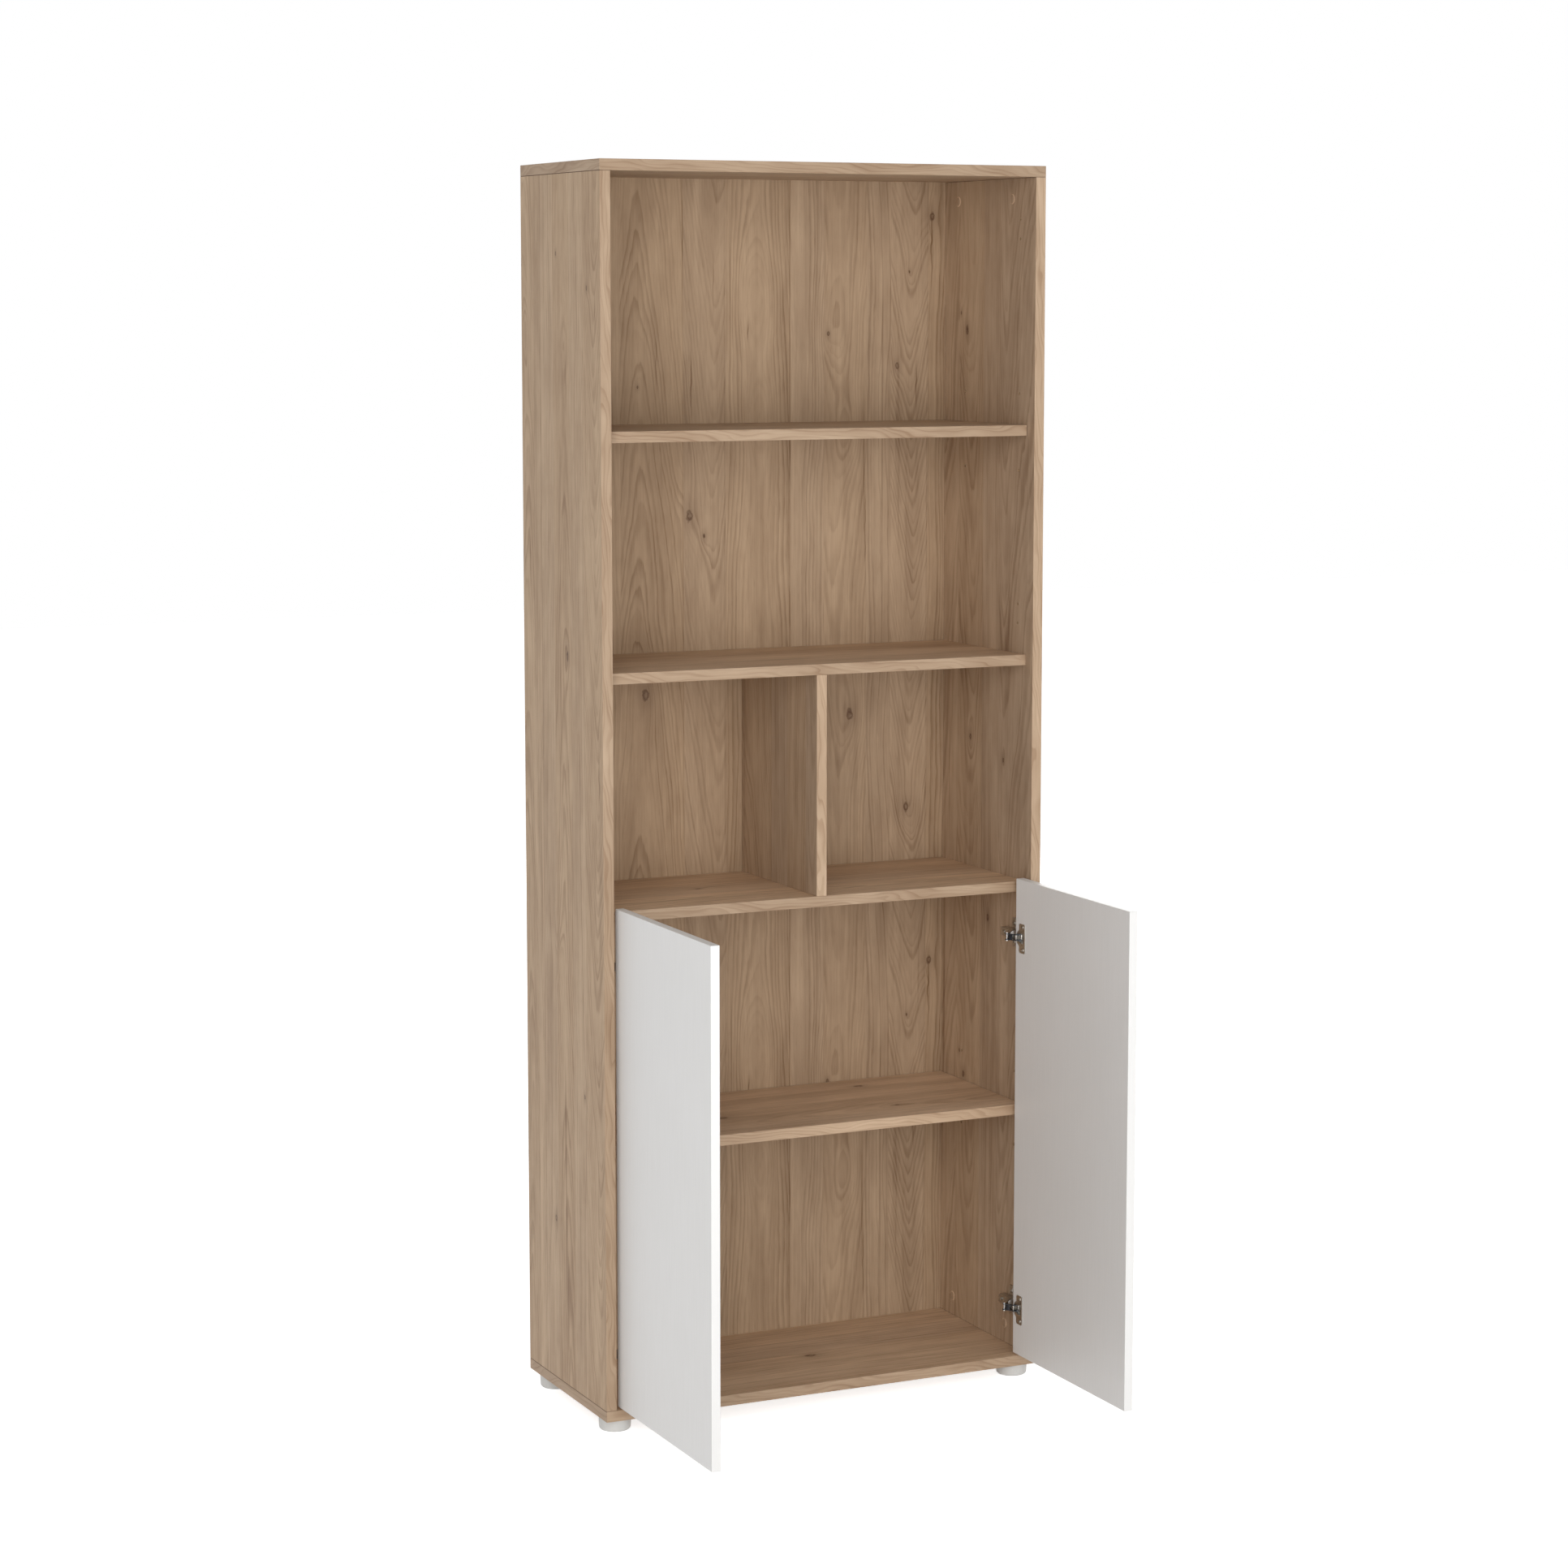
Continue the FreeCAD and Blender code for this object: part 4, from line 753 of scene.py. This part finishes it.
def makePanel(nodeName, values):
    low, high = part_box(nodeName)
    work = nodeCopy(nodeName)
    breakArrises(work, nodeName, panels["arris"], panels["arrisSteps"])
    across, along = values["across"], values["along"]
    if values["print"]:
        face = makePrintedWood(f"{nodeName}Decor", values["print"])
    else:
        face = makeFaceWood(f"{nodeName}Decor", across, along, values["offset"], values["seed"],
                            values["knots"], values["shade"])
    bands = [bandWood(nodeName, band, values, count) for count, band in enumerate(values["bands"])]
    thin = next(k for k in range(3) if axes[k] not in (across, along))

    def gap(middle, side):  # how far in a face lies from a side such as -Y
        k = axes.index(side[1])
        return middle[k] - low[k] if side[0] == "-" else high[k] - middle[k]

    for part in work.faces:
        middle = part.calc_center_median()
        turns = [abs(share) for share in part.normal]
        part.material_index = rawSlot
        depth = min(middle[thin] - low[thin], high[thin] - middle[thin])
        if turns[thin] > panels["faceTurn"] and depth < panels["faceReach"]:
            part.material_index = faceSlot
        for count, band in enumerate(values["bands"]):
            turn = turns[axes.index(band[1])]
            if turn > panels["bandTurn"] and gap(middle, band) < panels["bandReach"]:
                part.material_index = bandSlot + count
        # arris faces where this board meets another get the dark joint colour: painted shade
        # between boards
        overSide = abs(middle.x) > panels["sideInner"] - panels["arris"]
        if overSide and max(turns) < panels["slopeLimit"]:
            if any(gap(middle, joint) < panels["arris"] for joint in values["joints"]):
                part.material_index = jointShadowSlot
    finishPiece(work, f"{nodeName}Board", [face, rawBoard, jointShadowLine, *bands], "carcass",
                "oak_panel", nodeName)


def makeBack():
    work = nodeCopy("back_panel")
    for part in work.faces:
        part.material_index = 0 if part.normal.y < -panels["backTurn"] else 1
    sheet = [makePrintedWood("backPanelDecor", backPrint), hardboard]
    finishPiece(work, "backPanelSheet", sheet, "carcass", "oak_back", "back_panel")


for nodeName, values in panels["boards"].items():
    makePanel(nodeName, {**panels["common"], **values})
makeBack()
print("panels ready")


# doors: laminate faces, a banded edge all round and raw board inside the bores

doors = {"round": 0.001, "roundSteps": 3, "faceReach": 0.0003, "faceTurn": 0.8,
         "hands": ("left", "right")}


def makeDoor(hand):
    nodeName = f"{hand}_door"
    low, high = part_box(nodeName)
    work = nodeCopy(nodeName)
    breakArrises(work, nodeName, doors["round"], doors["roundSteps"])
    for part in work.faces:
        middle = part.calc_center_median()
        gaps = [min(middle[k] - low[k], high[k] - middle[k]) for k in range(3)]
        part.material_index = 2
        if gaps[0] < doors["faceReach"] and abs(part.normal.x) > doors["faceTurn"]:
            part.material_index = 0
        elif min(gaps[1:]) < doors["round"]:
            part.material_index = 1
    materials = [finishes["whiteLaminate"], finishes["whiteEdgeBand"], rawBoard]
    finishPiece(work, f"{hand}DoorLeaf", materials, nodeName, "white_door", nodeName)


for hand in doors["hands"]:
    makeDoor(hand)
print("doors ready")


# hinges: the CAD pieces with their pressed edges rounded over

hinges = {
    "round": 0.00018, "roundSteps": 2, "sharp": math.radians(38), "smooth": math.radians(28),
    "places": ("upper", "lower"),
    "pieces": {"mounting_plate": "carcass", "hinge_arm": "carcass",
               "inner_link": "{hand}_inner_links", "outer_link": "{hand}_outer_links",
               "hinge_cup": "{hand}_door"},
}


def makeHingePiece(hand, place, kind, body):
    nodeName = f"{hand}_{place}_{kind}"
    name = f"{hand}{place.title()}{kind.title().replace('_', '')}"
    piece = newPiece(name, workMesh(nodeCopy(nodeName), nodeName))
    modifier = piece.modifiers.new("roundOver", "BEVEL")
    modifier.width = hinges["round"]
    modifier.segments = hinges["roundSteps"]
    modifier.limit_method = "ANGLE"
    modifier.angle_limit = hinges["sharp"]
    modifier.use_clamp_overlap = True
    rounded = appliedMesh(piece, modifier)
    smoothShade(rounded, hinges["smooth"])
    rounded.materials.append(finishes["blackenedLink" if kind == "outer_link" else "satinNickel"])
    placePiece(piece, body.format(hand=hand), "nickel", nodeName)


for hand in doors["hands"]:
    for place in hinges["places"]:
        for kind, body in hinges["pieces"].items():
            makeHingePiece(hand, place, kind, body)
print("hinges ready")


# screws and cam covers grown on points by geometry nodes

screwLabels = ["Head Radius", "Head Height", "Crown", "Shank Radius", "Shank Length",
               "Slot Length", "Slot Width", "Slot Depth"]
screws = {
    "cup": (0.0032, 0.0015, 0.0062, 0.0016, 0.0105, 0.0036, 0.0008, 0.0011),
    "plate": (0.004, 0.0018, 0.008, 0.0023, 0.011, 0.0046, 0.001, 0.0013),
    "adjusting": (0.003, 0.0012, 0.007, 0.0018, 0.003, 0.0036, 0.0008, 0.0009),
}
screwForm = {"headSides": 40, "crownSides": 48, "crownRings": 64, "shankSides": 20, "tip": 0.7,
             "spinSeed": 7}
camCap = {"Radius": 0.0085, "Rise": 0.0007, "Rim": 0.0013, "Plug Radius": 0.007,
          "Plug Depth": 0.0005}
# the rim has two slopes; shares of the rise and of the rim's width
capForm = {"sides": 56, "plugSides": 40, "lower": 0.6, "upper": 0.45, "sink": 0.05,
           # the last factor makes the sloped rim's print paler all round: a painted highlight
           "shoulder": 0.4, "rimFacing": 0.95, "rimHighlightShade": 1.5}


def newGrower(name, numbers):
    tree = bpy.data.node_groups.new(name, "GeometryNodeTree")
    tree.interface.new_socket("Points", in_out="INPUT", socket_type="NodeSocketGeometry")
    for label in numbers:
        tree.interface.new_socket(label, in_out="INPUT", socket_type="NodeSocketFloat")
    tree.interface.new_socket("Finish", in_out="INPUT", socket_type="NodeSocketMaterial")
    tree.interface.new_socket("Grown", in_out="OUTPUT", socket_type="NodeSocketGeometry")
    return tree, *groupEnds(tree)


def moved(tree, shape, z=0.0, turn=0.0):
    return put(tree, "GeometryNodeTransform", {
        "Geometry": shape, "Translation": vector(tree, 0.0, 0.0, z),
        "Rotation": (0.0, 0.0, turn)}).outputs[0]


def cylinder(tree, sides, radius, depth):
    return put(tree, "GeometryNodeMeshCylinder", {
        "Vertices": sides, "Radius": radius, "Depth": depth}).outputs["Mesh"]


def cone(tree, sides, bottom, top, depth):
    return put(tree, "GeometryNodeMeshCone", {
        "Vertices": sides, "Radius Bottom": bottom, "Radius Top": top, "Depth": depth}
        ).outputs["Mesh"]


def combine(tree, operation, first, *others):
    node = put(tree, "GeometryNodeMeshBoolean", operation=operation, solver="EXACT")
    if operation == "DIFFERENCE":
        tree.links.new(first, node.inputs["Mesh 1"])
    else:
        others = (first, *others)
    for other in others:
        tree.links.new(other, node.inputs["Mesh 2"])
    return node.outputs[0]


def dome(tree, radius, height, crown):
    disc = cylinder(tree, screwForm["headSides"], radius, height)
    ball = put(tree, "GeometryNodeMeshUVSphere", {
        "Segments": screwForm["crownSides"], "Rings": screwForm["crownRings"], "Radius": crown}
        ).outputs["Mesh"]
    return combine(tree, "INTERSECT", moved(tree, disc, times(tree, height, -0.5)),
                   moved(tree, ball, times(tree, crown, -1.0)))


def scatter(tree, given, out, shape):  # one copy per point, each with a turn of its own
    facing = put(tree, "GeometryNodeInputNamedAttribute", {"Name": "facing"},
                 data_type="FLOAT_VECTOR").outputs["Attribute"]
    aimed = put(tree, "FunctionNodeAlignRotationToVector", {"Vector": facing}, axis="Z")
    twist = put(tree, "FunctionNodeRandomValue",
                {"Seed": screwForm["spinSeed"], 2: 0.0, 3: math.tau}, data_type="FLOAT")
    spin = put(tree, "FunctionNodeAxisAngleToRotation",
               {"Axis": (0.0, 0.0, 1.0), "Angle": twist.outputs[1]})
    turned = put(tree, "FunctionNodeRotateRotation",
                 {"Rotation": aimed.outputs[0], "Rotate By": spin.outputs[0]},
                 rotation_space="LOCAL")
    copies = put(tree, "GeometryNodeInstanceOnPoints", {
        "Points": given["Points"], "Instance": shape, "Rotation": turned.outputs[0]})
    real = put(tree, "GeometryNodeRealizeInstances", {"Geometry": copies.outputs[0]})
    painted = put(tree, "GeometryNodeSetMaterial",
                  {"Geometry": real.outputs[0], "Material": given["Finish"]})
    tree.links.new(painted.outputs[0], out["Grown"])


def makeCrossScrews():
    tree, given, out = newGrower("crossScrews", screwLabels)
    head = dome(tree, given["Head Radius"], given["Head Height"], given["Crown"])
    depth = times(tree, given["Slot Depth"], 2.0)
    size = vector(tree, given["Slot Length"], given["Slot Width"], depth)
    blade = put(tree, "GeometryNodeMeshCube", {"Size": size}).outputs["Mesh"]
    head = combine(tree, "DIFFERENCE", head, blade, moved(tree, blade, turn=math.pi / 2))
    tip = times(tree, given["Shank Radius"], screwForm["tip"])
    shank = cone(tree, screwForm["shankSides"], tip, given["Shank Radius"], given["Shank Length"])
    reach = total(tree, given["Head Height"], given["Shank Length"])
    whole = put(tree, "GeometryNodeJoinGeometry")
    tree.links.new(head, whole.inputs[0])
    tree.links.new(moved(tree, shank, times(tree, reach, -1.0)), whole.inputs[0])
    scatter(tree, given, out, whole.outputs[0])
    return tree


def makeCamCaps():
    tree, given, out = newGrower("camCaps", camCap)
    radius, rise, rim, deep = (given[label] for label in ("Radius", "Rise", "Rim", "Plug Depth"))
    shoulder = minus(tree, radius, times(tree, rim, capForm["shoulder"]))
    lower = cone(tree, capForm["sides"], radius, shoulder, times(tree, rise, capForm["lower"]))
    upper = cone(tree, capForm["sides"], shoulder, minus(tree, radius, rim),
                 times(tree, rise, capForm["upper"]))
    plug = cylinder(tree, capForm["plugSides"], given["Plug Radius"], deep)
    plugPlace = weighted(tree, (rise, rise, deep), (capForm["sink"], -1.0, -0.5))
    cap = combine(tree, "UNION", moved(tree, lower, times(tree, rise, -1.0)),
                  moved(tree, upper, times(tree, rise, -capForm["upper"])),
                  moved(tree, plug, plugPlace))
    scatter(tree, given, out, cap)
    return tree


def nodeIslands(nodeName):  # the box of each loose solid in a CAD node
    work = weldedCopy(nodeName)
    waiting, boxes = set(work.verts), []
    while waiting:
        front = [waiting.pop()]
        low, high = front[0].co.copy(), front[0].co.copy()
        while front:
            vert = front.pop()
            for k in range(3):
                low[k], high[k] = min(low[k], vert.co[k]), max(high[k], vert.co[k])
            for edge in vert.link_edges:
                other = edge.other_vert(vert)
                if other in waiting:
                    waiting.remove(other)
                    front.append(other)
        boxes.append((low, high))
    work.free()
    return sorted(boxes, key=lambda box: tuple(box[0]))


def inwardPoint(low, high):  # the end of a fastener that faces the middle of the cabinet
    centre = (low + high) / 2
    end, way = (high.x, 1.0) if centre.x < 0 else (low.x, -1.0)
    return Vector((end, centre.y, centre.z)), Vector((way, 0.0, 0.0))


def coverPoint(low, high):  # a flat cover lies under a shelf, an upright one in a side
    span, centre = high - low, (low + high) / 2
    if span.z < span.x:
        return Vector((centre.x, centre.y, low.z)), Vector((0.0, 0.0, -1.0))
    return inwardPoint(low, high)


def paintRimHighlights(mesh, finish, rimHighlightFinish):  # the sloped rim of each cover gets a paler copy of the print: a painted highlight
    mesh.materials.clear()
    mesh.materials.append(finish)
    mesh.materials.append(rimHighlightFinish)
    for face in mesh.polygons:
        sloped = max(abs(part) for part in face.normal) < capForm["rimFacing"]
        face.material_index = 1 if sloped else 0


def growPiece(name, tree, points, values, finish, body, slotName, replaced, rimHighlightFinish=None):
    mesh = bpy.data.meshes.new(f"{name}Points")
    mesh.from_pydata([tuple(point) for point, facing in points], [], [])
    facings = mesh.attributes.new("facing", "FLOAT_VECTOR", "POINT")
    for entry, (point, facing) in zip(facings.data, points):
        entry.vector = facing
    piece = newPiece(name, mesh)
    modifier = piece.modifiers.new("grow", "NODES")
    modifier.node_group = tree
    settings = {**values, "Finish": finish}
    for item in tree.interface.items_tree:
        if item.in_out == "INPUT" and item.name in settings:
            modifier[item.identifier] = settings[item.name]
    grown = appliedMesh(piece, modifier)
    if rimHighlightFinish:
        paintRimHighlights(grown, finish, rimHighlightFinish)
    smoothShade(grown, hinges["smooth"])
    placePiece(piece, body, slotName, replaced)


crossScrews = makeCrossScrews()
camCaps = makeCamCaps()
coverBoard = panels["boards"]["right_side_panel"]
# the rim's print is the cover's print made paler: a painted highlight
coverDecor, coverRimHighlight = (
    makeFaceWood(name, "Y", "Z", coverBoard["offset"], coverBoard["seed"], (),
                 coverBoard["shade"] * paler)
    for name, paler in (("coverDecor", 1.0), ("coverRimHighlight", capForm["rimHighlightShade"])))

screwSets = [
    ("leftCupScrewSet", "cup", "left_cup_screws", "left_door"),
    ("rightCupScrewSet", "cup", "right_cup_screws", "right_door"),
    ("plateScrewSet", "plate", "mounting_plate_screws", "carcass"),
    ("adjustingScrewSet", "adjusting", "adjusting_screws", "carcass"),
]
for name, kind, nodeName, body in screwSets:
    spots = [inwardPoint(*box) for box in nodeIslands(nodeName)]
    growPiece(name, crossScrews, spots, dict(zip(screwLabels, screws[kind])),
              finishes["satinNickel"], body, "nickel", nodeName)
spots = [coverPoint(*box) for box in nodeIslands("cam_covers")]
growPiece("camCapSet", camCaps, spots, camCap, coverDecor, "carcass", "oak_cover", "cam_covers",
          coverRimHighlight)
print("screws and cam covers ready")


# CAD pieces that stay as they are, in better finishes

keptPieces = {
    "whitePlastic": ["front_left_foot", "front_right_foot", "rear_left_foot", "rear_right_foot"],
    "beechDowel": ["wooden_dowels"],
    "dullZinc": ["cams", "cam_bolts", "foot_screws"],
    "satinNickel": ["shelf_pins"],
    "brightSteel": ["hinge_arm_pins", "left_inner_cup_pins", "left_outer_cup_pins",
                    "right_inner_cup_pins", "right_outer_cup_pins"],
}
for finish, names in keptPieces.items():
    for nodeName in names:
        for entry in nodes[nodeName].material_slots:
            entry.material = finishes[finish]
print("feet and inner hardware finished")


# light, floor and camera

stage = {
    "floorSize": 30.0, "floorColour": (0.93, 0.93, 0.93, 1.0), "floorRough": 0.9,
    "floorGlow": 0.72, "sky": (1.0, 1.0, 1.0, 1.0), "skyStrength": 0.39,
    "lamps": {  # place, aim, size, power
        "keyLight": ((-3.1, -5.5, 2.3), (0.0, 0.0, 0.8), 4.2, 192.0),
        "fillLight": ((0.4, -5.6, 0.8), (0.0, 0.0, 0.45), 3.0, 84.0),
        "sideLight": ((-6.0, 0.8, 1.5), (0.0, 0.0, 1.0), 4.0, 22.0),
        "rearLight": ((3.4, 4.8, 2.4), (0.0, 0.0, 1.0), 4.2, 130.0),
    },
}
camera = {
    "place": (-2.5935, -5.339, 1.8308), "turn": -25.1661, "tilt": 6.794,
    "focalPixels": 4519.16, "imagePixels": 1932.0, "sensor": 36.0, "centreRow": 908.0,
}


def seenRays(tree):  # 1 for what the camera sees, straight or mirrored, and 0 for soft light
    rays = put(tree, "ShaderNodeLightPath").outputs
    seen = calc(tree, "MAXIMUM", rays["Is Camera Ray"], rays["Is Glossy Ray"])
    return calc(tree, "MAXIMUM", seen, rays["Is Transmission Ray"])


def makeFloor():
    half = stage["floorSize"] / 2
    mesh = bpy.data.meshes.new("floor")
    corners = [(-half, -half, 0), (half, -half, 0), (half, half, 0), (-half, half, 0)]
    mesh.from_pydata(corners, [], [(0, 1, 2, 3)])
    floor = newPiece("floor", mesh)
    material, tree, shader, _ = newMaterial("paleFloor")
    give(tree, shader.inputs, Base_Color=stage["floorColour"], Roughness=stage["floorRough"])
    glow = put(tree, "ShaderNodeEmission",
               {"Strength": times(tree, seenRays(tree), stage["floorGlow"])})
    both = put(tree, "ShaderNodeAddShader", {0: shader.outputs[0], 1: glow.outputs[0]})
    tree.links.new(both.outputs[0], tree.nodes["Material Output"].inputs["Surface"])
    mesh.materials.append(material)


def makeSky():
    world = bpy.data.worlds.new("studio")
    bpy.context.scene.world = world
    world.use_nodes = True
    tree, soft = world.node_tree, stage["skyStrength"]
    give(tree, tree.nodes["Background"].inputs, Color=stage["sky"],
         Strength=scaled(tree, seenRays(tree), 1.0 - soft, soft))


def placeHolder(name, data, place, look):  # a lamp or a camera that looks one way
    holder = newPiece(name, data)
    holder.location = place
    holder.rotation_mode = "QUATERNION"
    holder.rotation_quaternion = look.to_track_quat("-Z", "Y")
    return holder


def makeLamps():
    for name, (place, target, size, power) in stage["lamps"].items():
        lamp = bpy.data.lights.new(name, "AREA")
        lamp.size = size
        lamp.energy = power
        placeHolder(name, lamp, place, Vector(target) - Vector(place))


def makeCamera():
    turn, tilt = math.radians(camera["turn"]), math.radians(camera["tilt"])
    lens = bpy.data.cameras.new("photoCamera")
    lens.sensor_width = camera["sensor"]
    lens.lens = camera["focalPixels"] / camera["imagePixels"] * camera["sensor"]
    lens.shift_y = camera["centreRow"] / camera["imagePixels"] - 0.5
    look = Vector((-math.sin(turn) * math.cos(tilt), math.cos(turn) * math.cos(tilt),
                   -math.sin(tilt)))
    bpy.context.scene.camera = placeHolder("photoCamera", lens, camera["place"], look)


makeFloor()
makeSky()
makeLamps()
makeCamera()
bpy.context.scene.view_settings.view_transform = "Standard"
print("light, floor and camera ready")
